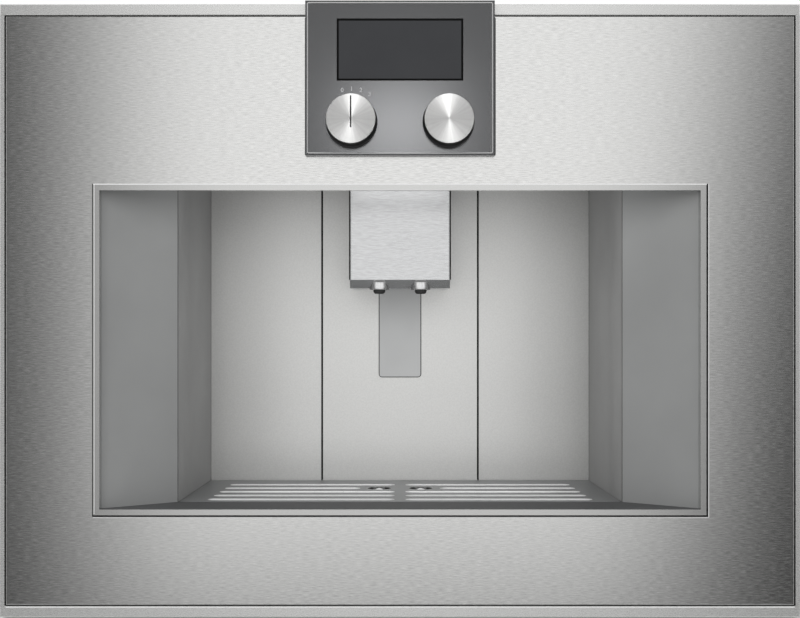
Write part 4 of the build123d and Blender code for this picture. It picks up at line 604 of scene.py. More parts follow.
def grid_piece(name, grids, finish, body, nodes=(), wrap=(True, True)):
    """One smooth piece out of grids of points, riding on a body in place of the nodes it replaces."""
    mesh = grid_mesh(name, grids, wrap)
    mesh.shade_smooth()
    mesh.set_sharp_from_angle(angle=math.radians(SHARP_ANGLE))
    mesh.materials.append(finish)
    piece = bpy.data.objects.new(name, mesh)
    scene.collection.objects.link(piece)
    if nodes:
        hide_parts(*nodes)
    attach(piece, body)
    print(name, len(mesh.polygons), "faces")
    return piece


# %% [markdown]
# ## The lathe
# For each axis a piece can be turned about, three directions are needed: two that span the turn, and one
# that the height counts along. A rounded corner of a profile is an arc, worked out and not drawn point by
# point, so that its radius stays one number.

# %% Helpers for turned pieces
AXES = {"y": ((1, 0, 0), (0, 0, 1), (0, -1, 0)), "z": ((1, 0, 0), (0, 1, 0), (0, 0, 1))}
AROUND = (True, False)    # the grid wraps round the turn; a profile that ends on the axis closes itself


def turned(profile, centre, axis="z", turns=96):
    """A profile turned round an axis: centre + radius (cos a, sin a) + height along the axis.

    The profile lists radius and height. Along y the height counts towards the viewer."""
    across, up, out = (np.array(direction, float) for direction in AXES[axis])
    radius, height = np.array(profile, float).T
    angle = np.linspace(0, 2 * np.pi, turns, endpoint=False)[:, None, None]
    ring = np.cos(angle) * across + np.sin(angle) * up
    return np.array(centre, float) + radius[None, :, None] * ring + height[None, :, None] * out


def corner(at, radius, start, quarter=90.0, steps=6):
    """Points of a rounded corner of a profile: an arc round a middle point, in degrees."""
    angle = np.radians(np.linspace(start, start + quarter, steps))
    return [(at[0] + radius * math.cos(a), at[1] + radius * math.sin(a)) for a in angle]


# %% [markdown]
# ## The knobs' spun steel
# Each knob is a turned steel cap on a black plastic body, whose black is painted shade and painted reflection
# along the knob's side, below the cap. The cap's face is spun: the tool leaves fine rings, which draw a light
# out along the radius, and so the face shows bright and dark wedges that stay where they are when the knob
# turns. A painted star would turn with the knob, so the wedges are left
# to the shader: its tangent runs round the knob's axis and its shine is drawn out across the rings.

# %% Recipe for spun steel
STREAKS = 9.0         # size of the streaks along the radius, over the unit circle
RINGS = 2600.0        # rings per metre of radius
STREAK_SHARE, RING_SHARE = 0.7, 0.3

knob_boxes = {side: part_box("knob_" + side) for side in ("left", "right")}
knob_centres = {
    side: ((low.x + high.x) / 2, low.y, (low.z + high.z) / 2) for side, (low, high) in knob_boxes.items()
}


def spun_finish(name, colour, roughness, centre):
    """Steel with rings round one axis, and fine streaks along the radius."""
    finish, tree, shader = new_finish(name)
    middle = add(tree, "ShaderNodeMapping", {"Location": tuple(-c for c in centre)})
    tree.links.new(add(tree, "ShaderNodeTexCoord").outputs["Object"], middle.inputs["Vector"])
    flat = add(tree, "ShaderNodeVectorMath", {1: (1.0, 0.0, 1.0)}, operation="MULTIPLY")
    tree.links.new(middle.outputs[0], flat.inputs[0])
    radius = add(tree, "ShaderNodeVectorMath", operation="LENGTH")
    tree.links.new(flat.outputs[0], radius.inputs[0])
    direction = add(tree, "ShaderNodeVectorMath", operation="NORMALIZE")
    tree.links.new(flat.outputs[0], direction.inputs[0])
    streaks = add(tree, "ShaderNodeTexNoise", {"Scale": STREAKS, "Detail": 4.0, "Roughness": 0.7})
    tree.links.new(direction.outputs[0], streaks.inputs["Vector"])
    rings = add(tree, "ShaderNodeTexNoise", {"Scale": RINGS, "Detail": 2.0}, noise_dimensions="1D")
    tree.links.new(radius.outputs["Value"], rings.inputs["W"])
    both = maths(tree, "ADD", maths(tree, "MULTIPLY", streaks.outputs["Fac"], STREAK_SHARE),
                 maths(tree, "MULTIPLY", rings.outputs["Fac"], RING_SHARE))
    vary_colour(tree, shader, both, tint(colour, 0.86), tint(colour, 1.12))
    vary_roughness(tree, shader, rings.outputs["Fac"], roughness - 0.04, roughness + 0.04)
    emboss(tree, shader, rings.outputs["Fac"], 3e-6)
    tangent = add(tree, "ShaderNodeTangent", direction_type="RADIAL", axis="Y")
    tree.links.new(tangent.outputs[0], shader.inputs["Tangent"])
    shader.inputs["Metallic"].default_value = 1.0
    shader.inputs["Anisotropic"].default_value = 0.95
    shader.inputs["Anisotropic Rotation"].default_value = QUARTER_TURN
    return finish


print("knobs at", {side: tuple(round(c, 4) for c in centre) for side, centre in knob_centres.items()})

# %% [markdown]
# ## The knobs' profiles
# The cap is a disc with a plug behind it, and the body is a hollow cup with a hub for the shaft. Cap and
# body meet where the plug sits in the body, so both profiles use the same values there and seat without
# a gap. Heights are counted from the cap's face, and backwards is negative.

# %% Draw the knobs' profiles
MM = 0.001
CAP_RADIUS = 18.0 * MM
CAP_WALL = 1.2 * MM
CAP_ROUND = 0.5 * MM
PLUG_RADIUS = 9.0 * MM
PLUG_LENGTH = 4.3 * MM
KNOB_LENGTH = 18.0 * MM
KNOB_WALL = 2.0 * MM
BODY_ROUND = 0.6 * MM
HUB_RADIUS = 5.5 * MM
BORE = 3.0 * MM

plug_end = -CAP_WALL - PLUG_LENGTH
hollow = plug_end - KNOB_WALL
hub_end = BODY_ROUND - KNOB_LENGTH

cap_profile = [(0.0, 0.0)]
cap_profile += corner((CAP_RADIUS - CAP_ROUND, -CAP_ROUND), CAP_ROUND, 90.0, -90.0)
cap_profile += [(CAP_RADIUS, -CAP_WALL), (PLUG_RADIUS, -CAP_WALL), (PLUG_RADIUS, plug_end), (0.0, plug_end)]

body_profile = [(PLUG_RADIUS, -CAP_WALL), (CAP_RADIUS, -CAP_WALL), (CAP_RADIUS, hub_end)]
body_profile += corner((CAP_RADIUS - BODY_ROUND, hub_end), BODY_ROUND, 0.0, -90.0)[1:]
body_profile += [
    (CAP_RADIUS - KNOB_WALL, -KNOB_LENGTH), (CAP_RADIUS - KNOB_WALL, hollow), (HUB_RADIUS, hollow),
    (HUB_RADIUS, hub_end), (BORE, hub_end), (BORE, plug_end), (PLUG_RADIUS, plug_end),
]
print("cap", len(cap_profile), "points, body", len(body_profile), "points")

# %% [markdown]
# ## Ribs in the knobs
# Six ribs hold the hub in the middle of the hollow body. A rib is straight, so it isn't turned: it is a
# rectangle carried along a line. The same helper makes every straight strip of this lesson. Its first and
# last stations shrink to a point, and that closes the ends.

# %% Helper for straight bars, and the ribs
RIBS = 6
RIB_WALL = 1.0 * MM
RIB_DROP = 2.0 * MM    # the ribs end this far inside the body's back
RIB_BITE = 0.2 * MM    # and reach this far into the hub and the wall


def bar(start, end, half_wide, half_thick, up):
    """A straight bar from start to end: a rectangle carried along the line, closed at both ends."""
    start, end, up = (np.array(v, float) for v in (start, end, up))
    along = (end - start) / np.linalg.norm(end - start)
    side = np.cross(along, up)
    rectangle = ((-1, -1), (1, -1), (1, 1), (-1, 1))
    ring = np.array([s * half_wide * side + u * half_thick * up for s, u in rectangle])
    return np.stack([start + 0 * ring, start + ring, end + ring, end + 0 * ring], axis=1)


def knob_ribs(centre):
    """Ribs between the hub and the wall of a hollow knob body, one every sixth of a turn."""
    gap = CAP_RADIUS - KNOB_WALL - HUB_RADIUS
    grids = []
    for angle in np.arange(RIBS) * 2 * np.pi / RIBS:
        ray = np.array((math.cos(angle), 0.0, math.sin(angle)))
        middle = np.array(centre) + ray * (HUB_RADIUS + CAP_RADIUS - KNOB_WALL) / 2
        front, back = (middle - np.array((0.0, h, 0.0)) for h in (hollow, RIB_DROP - KNOB_LENGTH))
        grids.append(bar(front, back, gap / 2 + RIB_BITE, RIB_WALL / 2, np.cross(ray, (0.0, 1.0, 0.0))))
    return grids


# %% [markdown]
# ## Turning the knobs
# Cap, body and shaft are three pieces, because they are three materials. A cap gets many steps round its
# rim, which is seen large, and the shaft needs few.

# %% Turn the knobs
SHAFT_PLAY = 0.1 * MM
# The body's near-black is painted shade and painted reflection: the knob's side lies in shadow below the cap.
knob_shade_black = moulded("knob_shade_black", (0.005, 0.005, 0.005), 0.6)
less_shine(knob_shade_black, 0.25)
shaft_radius = BORE - SHAFT_PLAY
shaft_end = plug_end - SHAFT_PLAY
knob_caps = []
for side, centre in knob_centres.items():
    node = "knob_" + side
    body = node + "_body"
    back = knob_boxes[side][1].y - centre[1]
    spun = spun_finish("spun_steel_" + side, (0.17, 0.17, 0.168), 0.40, centre)
    cap = turned(cap_profile, centre, "y", 160)
    knob_caps.append(grid_piece(node + "_cap", [cap], spun, body, [node], AROUND))
    skirt = [turned(body_profile, centre, "y", 128)] + knob_ribs(centre)
    grid_piece(node + "_skirt", skirt, knob_shade_black, body, [node])
    shaft_profile = [(0.0, shaft_end), (shaft_radius, shaft_end), (shaft_radius, -back), (0.0, -back)]
    shaft = turned(shaft_profile, centre, "y", 48)
    grid_piece(node + "_shaft", [shaft], polished_steel, body, [node], AROUND)

# %% [markdown]
# ## Lights for the control unit
# A mirror-like piece shows lights more than it is lit by them. A tall soft strip in front of the machine
# gives the caps their wedges, and a small soft lamp gives the dark cover its faint glow between the
# knobs. Each lights its own pieces only, so that neither spoils the sheet's even fall of light.

# %% Strip for the caps and glow for the cover
strip_lamp = soft_lamp(
    "knob_strip", place=(0.0, -1.75, 1.15), target=(0.0, front_y, 0.366), size=(0.48, 2.0), watts=44.0,
    in_steel=True,
)
lit_alone(strip_lamp, "knob_caps", knob_caps)
glow_lamp = soft_lamp(
    "cover_glow", place=(0.0, -1.75, 0.53), target=(0.0, front_y, 0.36), size=(0.15, 0.12), watts=0.43,
    in_steel=True,
)
lit_alone(glow_lamp, "control_cover", [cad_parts["control_fascia"]])

# %% [markdown]
# ## The pointer
# A black line on the left cap says which setting is chosen. Painted on as a texture it would be smeared
# by the cap's rim. It is a thin bar let into the face, and it rides on the knob.

# %% Lay the pointer
POINTER_WIDTH = 1.1 * MM
POINTER_ABOVE = 16.5 * MM
POINTER_BELOW = 6.4 * MM
POINTER_SUNK = 0.2 * MM
POINTER_PROUD = 0.03 * MM
TOWARDS_VIEWER = (0.0, -1.0, 0.0)

dial_x, dial_y, dial_z = knob_centres["left"]
pointer_black = moulded("pointer_black", (0.012, 0.012, 0.012), 0.6)
pointer_foot = (dial_x, dial_y + POINTER_SUNK, dial_z - POINTER_BELOW)
pointer_tip = (dial_x, dial_y + POINTER_SUNK, dial_z + POINTER_ABOVE)
pointer = bar(pointer_foot, pointer_tip, POINTER_WIDTH / 2, POINTER_SUNK + POINTER_PROUD, TOWARDS_VIEWER)
grid_piece("pointer_line", [pointer], pointer_black, "knob_left_body")

# %% [markdown]
# ## Figures round the dial
# The left knob has four settings, 16.5 degrees apart on their arc. Figures on a dial are screen printed,
# a film of paint far thinner than a sheet of paper. Type on a curve object is the easy way to such a
# shape; it is turned into a mesh, because the lesson's pieces all lie in one frame.

# %% Print the figures
FIGURES = 4
FIGURE_STEP = 16.5          # degrees
FIGURE_REACH = 24.1 * MM
FIGURE_SIZE = 4.4 * MM
FIGURE_FILM = 0.05 * MM
figure_paint = moulded("figure_paint", (0.60, 0.60, 0.61), 0.5)
fascia_low, fascia_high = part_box("control_fascia")


def printed(figure):
    """The mesh of one figure of type, lying flat round its own middle."""
    type_curve = bpy.data.curves.new("figure_type", "FONT")
    type_curve.body = figure
    type_curve.size = FIGURE_SIZE
    type_curve.align_x, type_curve.align_y = "CENTER", "CENTER"
    type_curve.extrude = FIGURE_FILM
    draft = bpy.data.objects.new("figure_draft", type_curve)
    scene.collection.objects.link(draft)
    bpy.context.view_layer.update()
    mesh = bpy.data.meshes.new_from_object(draft)
    bpy.data.objects.remove(draft)
    return mesh


for number in range(FIGURES):
    angle = math.radians((number - 1) * FIGURE_STEP)
    figure_mesh = printed(str(number))
    flat = np.empty(len(figure_mesh.vertices) * 3)
    figure_mesh.vertices.foreach_get("co", flat)
    flat = flat.reshape(-1, 3)
    placed_points = np.stack([
        dial_x + FIGURE_REACH * math.sin(angle) + flat[:, 0],
        fascia_low.y - flat[:, 2],
        dial_z + FIGURE_REACH * math.cos(angle) + flat[:, 1],
    ], axis=1)
    figure_mesh.vertices.foreach_set("co", placed_points.ravel())
    figure_mesh.materials.clear()
    figure_mesh.materials.append(figure_paint)
    figure = bpy.data.objects.new(f"figure_{number}", figure_mesh)
    scene.collection.objects.link(figure)
    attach(figure, "door")
    print("figure", number, "at", round(math.degrees(angle), 1), "degrees")

# %% [markdown]
# ## Lines that run round a rectangle
# Much of the front's detail is fine lines: a bead that catches the light, a black gasket in a gap. All
# those that run round a rectangle are one small profile carried round a path with round corners. On each
# quarter circle the ray from its middle says which way is outwards, and the straight stretches come by
# themselves where the grid joins one corner to the next.

# %% Helpers for a profile round a rectangle
def framed(low, high, corner_radius, profile, depth, steps=6):
    """A small profile carried round a rectangle with round corners, in the plane of the front.

    A point is the path's point, plus the profile's first number outwards, plus its second towards the
    viewer from the given depth."""
    (x0, z0), (x1, z1) = low, high
    left, right = x0 + corner_radius, x1 - corner_radius
    bottom, top = z0 + corner_radius, z1 - corner_radius
    rays, spots = [], []
    for mx, mz, start in ((right, top, 0), (left, top, 90), (left, bottom, 180), (right, bottom, 270)):
        angle = np.radians(np.linspace(start, start + 90, steps))
        ray = np.stack([np.cos(angle), np.zeros(steps), np.sin(angle)], axis=1)
        rays.append(ray)
        spots.append(np.array((mx, depth, mz)) + corner_radius * ray)
    rays, spots = np.concatenate(rays), np.concatenate(spots)
    out, forward = np.array(profile, float).T
    outwards = out[None, :, None] * rays[:, None]
    return spots[:, None] + outwards + forward[None, :, None] * np.array(TOWARDS_VIEWER)


def round_profile(radius, steps=10):
    """A circle as a profile."""
    angle = np.linspace(0, 2 * np.pi, steps, endpoint=False)
    return np.stack([radius * np.cos(angle), radius * np.sin(angle)], axis=1)


def flat_profile(inner, outer, back, front):
    """A rectangle as a profile, from inner to outer and from back to front."""
    return [(inner, back), (outer, back), (outer, front), (inner, front)]


def seal(name, grids, body):
    """A piece of black rubber."""
    return grid_piece(name, grids, gasket_black, body)


# %% [markdown]
# ## The control unit's edge
# A pressed cover is never quite flat at its edge: a fine bead runs round it and catches the light, and
# behind it a black gasket seals it to the sheet. The gasket shows wider on the right than on the left and
# below, and that wider side is painted shadow of the unit. In the photograph that pair is what makes the unit
# look set into the steel and not painted on it.

# %% Bead and gasket round the control unit
BEAD_INSET = 1.7 * MM
BEAD_RADIUS = 0.45 * MM
BEAD_SUNK = 0.2 * MM
GASKET_WIDTH = 1.0 * MM
GASKET_PROUD = 1.2 * MM
GASKET_TUCK = 0.5 * MM     # how far the gasket reaches in under the cover
# Narrows the gasket on the left and below, so that its full width on the right is painted shadow of the unit.
GASKET_SHADOW_SHIFT = (0.4 * MM, 0.9 * MM)
GASKET_TOP = 1.5 * MM      # below the sheet's upper edge

bead_steel = satin_steel("bead_steel", (0.55, 0.55, 0.55), 0.3, metallic=0.6)
bead_low = (fascia_low.x + BEAD_INSET, fascia_low.z + BEAD_INSET)
bead_high = (fascia_high.x - BEAD_INSET, fascia_high.z - BEAD_INSET)
bead = framed(bead_low, bead_high, 1.0 * MM, round_profile(BEAD_RADIUS), fascia_low.y + BEAD_SUNK)
grid_piece("fascia_bead", [bead], bead_steel, "door")

sheet_low, sheet_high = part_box("front_panel")
gasket_low = (fascia_low.x + GASKET_SHADOW_SHIFT[0], fascia_low.z + GASKET_SHADOW_SHIFT[1])
gasket_high = (fascia_high.x, sheet_high.z - GASKET_TOP)
gasket_profile = flat_profile(-GASKET_TUCK, GASKET_WIDTH, 0.0, GASKET_PROUD)
seal("unit_gasket_and_shadow", [framed(gasket_low, gasket_high, 0.5 * MM, gasket_profile, front_y)], "door")

# %% [markdown]
# ## The sheet's seal and the guide's groove
# The folded sheet stands a little off the door, and a seal closes the gap all round. In the niche the
# plate that guides the spout sits in a dark groove. Both are the same rule with other numbers.

# %% Seal the sheet and the guide plate
SEAL_BACK = 4.0 * MM
SEAL_THICK = 1.0 * MM
SEAL_WIDTH = 1.6 * MM
SEAL_TUCK = 0.2 * MM
GUIDE_SEAL_WIDTH = 0.7 * MM
GUIDE_CORNER = 2.3 * MM

seal_profile = flat_profile(-SEAL_TUCK, SEAL_WIDTH, 0.0, SEAL_THICK)
seal_depth = front_y + SEAL_BACK
sheet_edge = framed(
    (sheet_low.x, sheet_low.z), (sheet_high.x, sheet_high.z), 0.3 * MM, seal_profile, seal_depth
)
seal("sheet_seal", [sheet_edge], "door")
plate_low, plate_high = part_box("spout_guide_plate")
groove_profile = flat_profile(0.0, GUIDE_SEAL_WIDTH, -0.1 * MM, 0.3 * MM)
guide_edge = framed(
    (plate_low.x, plate_low.z), (plate_high.x, plate_high.z), GUIDE_CORNER, groove_profile, plate_high.y
)
seal("guide_seal", [guide_edge], "chassis")

# %% [markdown]
# ## The niche's trim
# A polished trim frames the niche, and it isn't the same on all four sides, because the light comes from
# above and the left: its outer edge is bright above and on the left, and on the right and below a bright line
# runs just outside it, past a dark one.
# The bright strips are painted highlights, and the dark strips are painted shadow of the proud trim, wider
# below and on the right.
# Straight strips with their own places do what a profile round a rectangle can't.

# %% Painted highlights and shadows along the trim
# The trim's beads are flat bright strips of painted highlight.
TRIM_HIGHLIGHT = 0.35 * MM       # half of a bead's width
TRIM_HIGHLIGHT_OUT = 1.2 * MM    # the lower and right beads lie this far outside the trim
HIGHLIGHT_PROUD = 0.12 * MM
TRIM_SHADOW = 0.6 * MM
SEAL_PROUD = 0.08 * MM


def strip(start, end, y, half_wide, proud):
    """A flat strip in the plane of the front, from one point (x, z) to another, proud of a depth y."""
    (x0, z0), (x1, z1) = start, end
    return bar((x0, y, z0), (x1, y, z1), half_wide, proud, (0.0, 1.0, 0.0))


# Near-white steel: on the trim, the rail and in the grid's slots it is painted highlight, and it also makes
# the drain cups' buttons.
bright_steel_and_highlight = satin_steel("bright_steel_and_highlight", (0.86, 0.86, 0.86), 0.3, metallic=0.3)
trim_low, trim_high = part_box("niche_trim")
trim_y = trim_low.y
left, right, bottom, top = trim_low.x, trim_high.x, trim_low.z, trim_high.z
over, under = top - TRIM_HIGHLIGHT, bottom - TRIM_HIGHLIGHT_OUT
beside = left + 3 * TRIM_HIGHLIGHT
outside = right + TRIM_HIGHLIGHT_OUT
beside_low, beside_high = bottom + 4 * TRIM_HIGHLIGHT, top - 2 * TRIM_HIGHLIGHT
# Painted highlights: bright strips where the trim's edges catch the light.
trim_highlights = [
    strip((left + TRIM_HIGHLIGHT, over), (right - TRIM_HIGHLIGHT, over), trim_y, TRIM_HIGHLIGHT, HIGHLIGHT_PROUD),
    strip((beside, beside_low), (beside, beside_high), trim_y, 0.6 * TRIM_HIGHLIGHT, HIGHLIGHT_PROUD),
    strip((left, under), (outside, under), front_y, TRIM_HIGHLIGHT, HIGHLIGHT_PROUD),
    strip((outside, under), (outside, top), front_y, TRIM_HIGHLIGHT, HIGHLIGHT_PROUD),
]
grid_piece("trim_highlight", trim_highlights, bright_steel_and_highlight, "door")
# Painted shadow: dark strips where the proud trim shades the steel, wider below and on the right.
trim_shadows = [
    strip((left - TRIM_HIGHLIGHT, bottom), (right + TRIM_SHADOW, bottom), trim_y, TRIM_SHADOW, SEAL_PROUD),
    strip((right, bottom), (right, top), trim_y, TRIM_SHADOW, SEAL_PROUD),
    strip((left - TRIM_HIGHLIGHT, bottom), (left - TRIM_HIGHLIGHT, top), front_y, TRIM_HIGHLIGHT, SEAL_PROUD),
]
seal("trim_shadow", trim_shadows, "door")

# %% [markdown]
# ## The lower rail's painted highlight
# Just under the sheet the lower rail has a rolled edge, which catches the light. From in front only that
# bright line shows, so one bright strip along it is enough, a painted highlight.

# %% Painted highlight on the rail
RAIL_EDGE = 1.8 * MM       # below the sheet's lower edge
RAIL_HIGHLIGHT = 0.4 * MM
rail_z = sheet_low.z - RAIL_EDGE
rail_highlight = strip((sheet_low.x, rail_z), (sheet_high.x, rail_z), front_y, RAIL_HIGHLIGHT, HIGHLIGHT_PROUD)
grid_piece("rail_highlight", [rail_highlight], bright_steel_and_highlight, "door")

# %% [markdown]
# ## Seals of the spout and of the niche's back
# A dark line marks each side of the spout's cover, where it meets its black core. The niche's back is
# three steel panels, and the seams between them are filled with black strips. They could be dark lines
# in the steel's material, but a strip casts its own small shadow and stays sharp from near by.

# %% Seal the spout's cover and the panels' seams
COVER_SEAL = 0.7 * MM
COVER_START = 6.8 * MM     # above the cover's chamfer
COVER_STOP = 1.0 * MM
COVER_SEAL_BACK = 1.2 * MM
COVER_SEAL_PROUD = 0.6 * MM
SEAM_X = 67.2 * MM
SEAM_HALF = 0.7 * MM
SEAM_START = 6.0 * MM

spout_low, spout_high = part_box("spout_cover")
cover_from, cover_to = spout_low.z + COVER_START, spout_high.z - COVER_STOP
cover_y = spout_low.y + COVER_SEAL_BACK
cover_seals = [
    strip((x, cover_from), (x, cover_to), cover_y, COVER_SEAL, COVER_SEAL_PROUD)
    for x in (spout_low.x, spout_high.x)
]
seal("spout_seal", cover_seals, "spout_body")
seams = [
    strip((x, back_low.z + SEAM_START), (x, back_high.z), back_low.y, SEAM_HALF, SEAL_PROUD)
    for x in (-SEAM_X, SEAM_X)
]
seal("panel_seals", seams, "chassis")

# %% [markdown]
# ## The sill's painted shade
# A dark sheet lies on the sill in front of the drip grid, wide at the front and as narrow as the niche at
# the back: painted shade where the liner's floor lies in the door's shadow. A darker liner would do for the
# front view, but it would also darken the door's back, which is the same piece. So the shade is its own thin
# sheet: a rectangle carried from front to back that changes its width on the way.

# %% Lay the painted shade on the sill
# Sizes of the thin sheet of painted shade on the sill.
SHADE_FRONT = 225.0 * MM      # half of the mat's width in front
SHADE_BACK = 170.4 * MM       # and at the back
SHADE_THICK = 0.25 * MM
SHADE_INSET = 1.0 * MM
SHADE_END = 0.2 * MM
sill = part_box("drip_grid")[1].z
shade_near = front_y + SHADE_INSET
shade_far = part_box("door_liner")[1].y - SHADE_END
# The sheet of painted shade, one rectangle at each station from front to back.
mat = [
    [(-half, y, sill), (half, y, sill), (half, y, sill + SHADE_THICK), (-half, y, sill + SHADE_THICK)]
    for half, y in ((0.0, shade_near), (SHADE_FRONT, shade_near), (SHADE_BACK, shade_far), (0.0, shade_far))
]
# Painted shade: a dark grey for the shadow on the liner's floor.
sill_shade_black = moulded("sill_shade_black", (0.090, 0.092, 0.094), 0.6)
grid_piece("sill_shade", [np.array(mat).transpose(1, 0, 2)], sill_shade_black, "door")

# %% [markdown]
# ## The niche's gasket
# When the door closes, the liner meets the niche in a gasket, and a second strip fills the gap beside
# the drip grid. Without them light would leak through and draw a bright line down each side.

# %% Gasket on the niche's front edge and beside the grid
NICHE_WALL = 1.2 * MM
EDGE_SHIFT = 0.2 * MM
EDGE_FORWARD = 1.0 * MM
EDGE_HALF, EDGE_THICK = 0.6 * MM, 0.8 * MM
FILL_DROP = 1.2 * MM
FILL_HALF, FILL_THICK = 0.35 * MM, 1.0 * MM
UPWARDS = (0.0, 0.0, 1.0)

sides_low, sides_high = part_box("niche_sides")
grid_low, grid_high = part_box("drip_grid")
edge_x = sides_high.x - NICHE_WALL + EDGE_SHIFT
edge_y = sides_low.y - EDGE_FORWARD
fill_x = (grid_high.x + sides_high.x - NICHE_WALL) / 2
fill_z = grid_high.z - FILL_DROP
niche_edges = [
    strip((x, grid_high.z), (x, sides_high.z), edge_y, EDGE_HALF, EDGE_THICK) for x in (-edge_x, edge_x)
]
grid_gaps = [
    bar((x, grid_low.y, fill_z), (x, grid_high.y, fill_z), FILL_HALF, FILL_THICK, UPWARDS)
    for x in (-fill_x, fill_x)
]
seal("niche_gasket", niche_edges + grid_gaps, "chassis")

# %% [markdown]
# ## Nozzles
# Two steel tubes come out of the spout's floor, each with a black rubber tip that rounds in to the
# outlet. Both are turned, and the tip takes its upper edge from the tube's lower end.

# %% Turn the tubes and their tips
NOZZLE_RADIUS = 5.1 * MM
NOZZLE_BORE = 2.0 * MM
NOZZLE_ROUND = 0.8 * MM
TIP_RADIUS = 4.9 * MM
TIP_LENGTH = 3.4 * MM
TIP_ROUND = 2.4 * MM

tube_low, tube_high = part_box("spout_nozzles")
nozzle_x = tube_high.x - NOZZLE_RADIUS
nozzle_y = (tube_low.y + tube_high.y) / 2
nozzle_places = [(side * nozzle_x, nozzle_y, 0.0) for side in (-1, 1)]

tube_profile = [(NOZZLE_BORE, tube_low.z), (NOZZLE_RADIUS - NOZZLE_ROUND, tube_low.z)]
tube_profile += corner((NOZZLE_RADIUS - NOZZLE_ROUND, tube_low.z + NOZZLE_ROUND), NOZZLE_ROUND, -90.0)[1:]
tube_profile += [(NOZZLE_RADIUS, tube_high.z), (NOZZLE_BORE, tube_high.z)]
tubes = [turned(tube_profile, place) for place in nozzle_places]
grid_piece("nozzle_tubes", tubes, polished_steel, "spout_body", ["spout_nozzles"])

tip_low = tube_low.z - TIP_LENGTH
tip_profile = [(NOZZLE_BORE, tube_low.z), (TIP_RADIUS, tube_low.z)]
tip_profile += corner((TIP_RADIUS - TIP_ROUND, tip_low + TIP_ROUND), TIP_ROUND, 0.0, -90.0)
tip_profile += [(NOZZLE_BORE, tip_low)]
tips = [turned(tip_profile, place) for place in nozzle_places]
grid_piece("nozzle_tips", tips, soft_black, "spout_body", ["nozzle_rubber"])

# %% [markdown]
# ## Sleeves cut at a slant
# Each tube stands in a sleeve that is cut at a slant, level with the spout's chamfer. The slant is the
# one thing here that a lathe can't do. On the grid it is a single rule: a point of the sleeve's lower rim
# goes as low as its rim's own height or the slanting plane, whichever is higher.

# %% Cut the sleeves
SLEEVE_RADIUS = 8.0 * MM
SLEEVE_DROP = 1.3 * MM
SLEEVE_ROUND = 0.5 * MM
SLEEVE_PLAY = 0.05 * MM
SLEEVE_ABOVE = 2.0 * MM      # the sleeve's upper end, above the chamfer
SLANT_STOP = 1.0 * MM        # the slant stops this far above the chamfer
SPOUT_CHAMFER = 6.8 * MM


def sleeve(place):
    """A tube whose lower rim follows a slanting plane where that is higher than the rim itself."""
    rim = spout_low.z - SLEEVE_DROP
    inner = NOZZLE_RADIUS + SLEEVE_PLAY
    upper = rim + SPOUT_CHAMFER + SLEEVE_ABOVE
    profile = [(inner, rim), (SLEEVE_RADIUS - SLEEVE_ROUND, rim)]
    profile += corner((SLEEVE_RADIUS - SLEEVE_ROUND, rim + SLEEVE_ROUND), SLEEVE_ROUND, -90.0)[1:]
    profile += [(SLEEVE_RADIUS, upper), (inner, upper)]
    grid = turned(profile, place)
    slant = rim + SPOUT_CHAMFER - (grid[..., 1] - spout_low.y)
    grid[..., 2] = np.maximum(grid[..., 2], np.minimum(slant, rim + SPOUT_CHAMFER + SLANT_STOP))
    return grid


sleeve_steel = satin_steel("sleeve_steel", (0.16, 0.16, 0.16), 0.35, metallic=0.5)
sleeves = [sleeve(place) for place in nozzle_places]
grid_piece("nozzle_sleeves", sleeves, sleeve_steel, "spout_body", ["nozzle_rubber"])

# %% [markdown]
# ## Bright collars
# In front of each tube the photograph shows a short bright collar that widens upwards from the tip. Its
# foot follows a quarter of an ellipse: the radius grows fast at first and then slowly, until it is full.

# %% Turn the collars
COLLAR_RADIUS = 6.0 * MM
COLLAR_FOOT = 4.9 * MM
COLLAR_FLARE = 2.2 * MM      # height over which the foot widens
COLLAR_RISE = 5.2 * MM
COLLAR_FORWARD = 3.2 * MM

collar_top = spout_low.z + COLLAR_RISE
collar_profile = [(0.0, tube_low.z)] + [
    (COLLAR_FOOT + (COLLAR_RADIUS - COLLAR_FOOT) * math.sqrt(1 - (1 - s) ** 2), tube_low.z + COLLAR_FLARE * s)
    for s in np.linspace(0.0, 1.0, 7)
]
collar_profile += corner((COLLAR_RADIUS - NOZZLE_ROUND, collar_top - NOZZLE_ROUND), NOZZLE_ROUND, 0.0)
collar_profile += [(0.0, collar_top)]
collar_steel = satin_steel("collar_steel", (0.78, 0.78, 0.78), 0.40, metallic=1.0)
collars = [turned(collar_profile, (px, py - COLLAR_FORWARD, pz)) for px, py, pz in nozzle_places]
grid_piece("nozzle_collars", collars, collar_steel, "spout_body", wrap=AROUND)

# %% [markdown]
# ## Drip grid
# The plate's slots show a bright cut edge, where their walls catch the light. The imported plate keeps one
# finish on all its faces, so a thin bright band lines each slot, a painted highlight. A slot is a rectangle
# whose corner radius is half its width, which makes its ends round. The helper for rectangles draws upright
# ones, so its result is laid down: what was height becomes depth.

# %% Line the slots
SLOT_ROWS = 5
FIRST_SLOT = 14.5 * MM      # the first row's middle, behind the grid's front edge
SLOT_PITCH = 26.5 * MM
SLOT_WIDTH = 11.0 * MM
SLOT_INSET = 20.3 * MM      # the first row's outer end, inside the grid's side
SLOT_STEP = 1.65 * MM       # each row further back ends this much further in
SLOT_INNER = 4.3 * MM
DRAIN_ROW = 3               # this row makes room for the drain cups
DRAIN_RADIUS = 10.45 * MM
DRAIN_LAND = 5.3 * MM
BAND_WALL = 0.25 * MM
BAND_HEIGHT = 1.95 * MM
BAND_RISE = 0.05 * MM

cups_low, cups_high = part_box("drain_cups")
cup_rim = (cups_high.y - cups_low.y) / 2
cup_x = cups_high.x - cup_rim
cup_y = (cups_low.y + cups_high.y) / 2


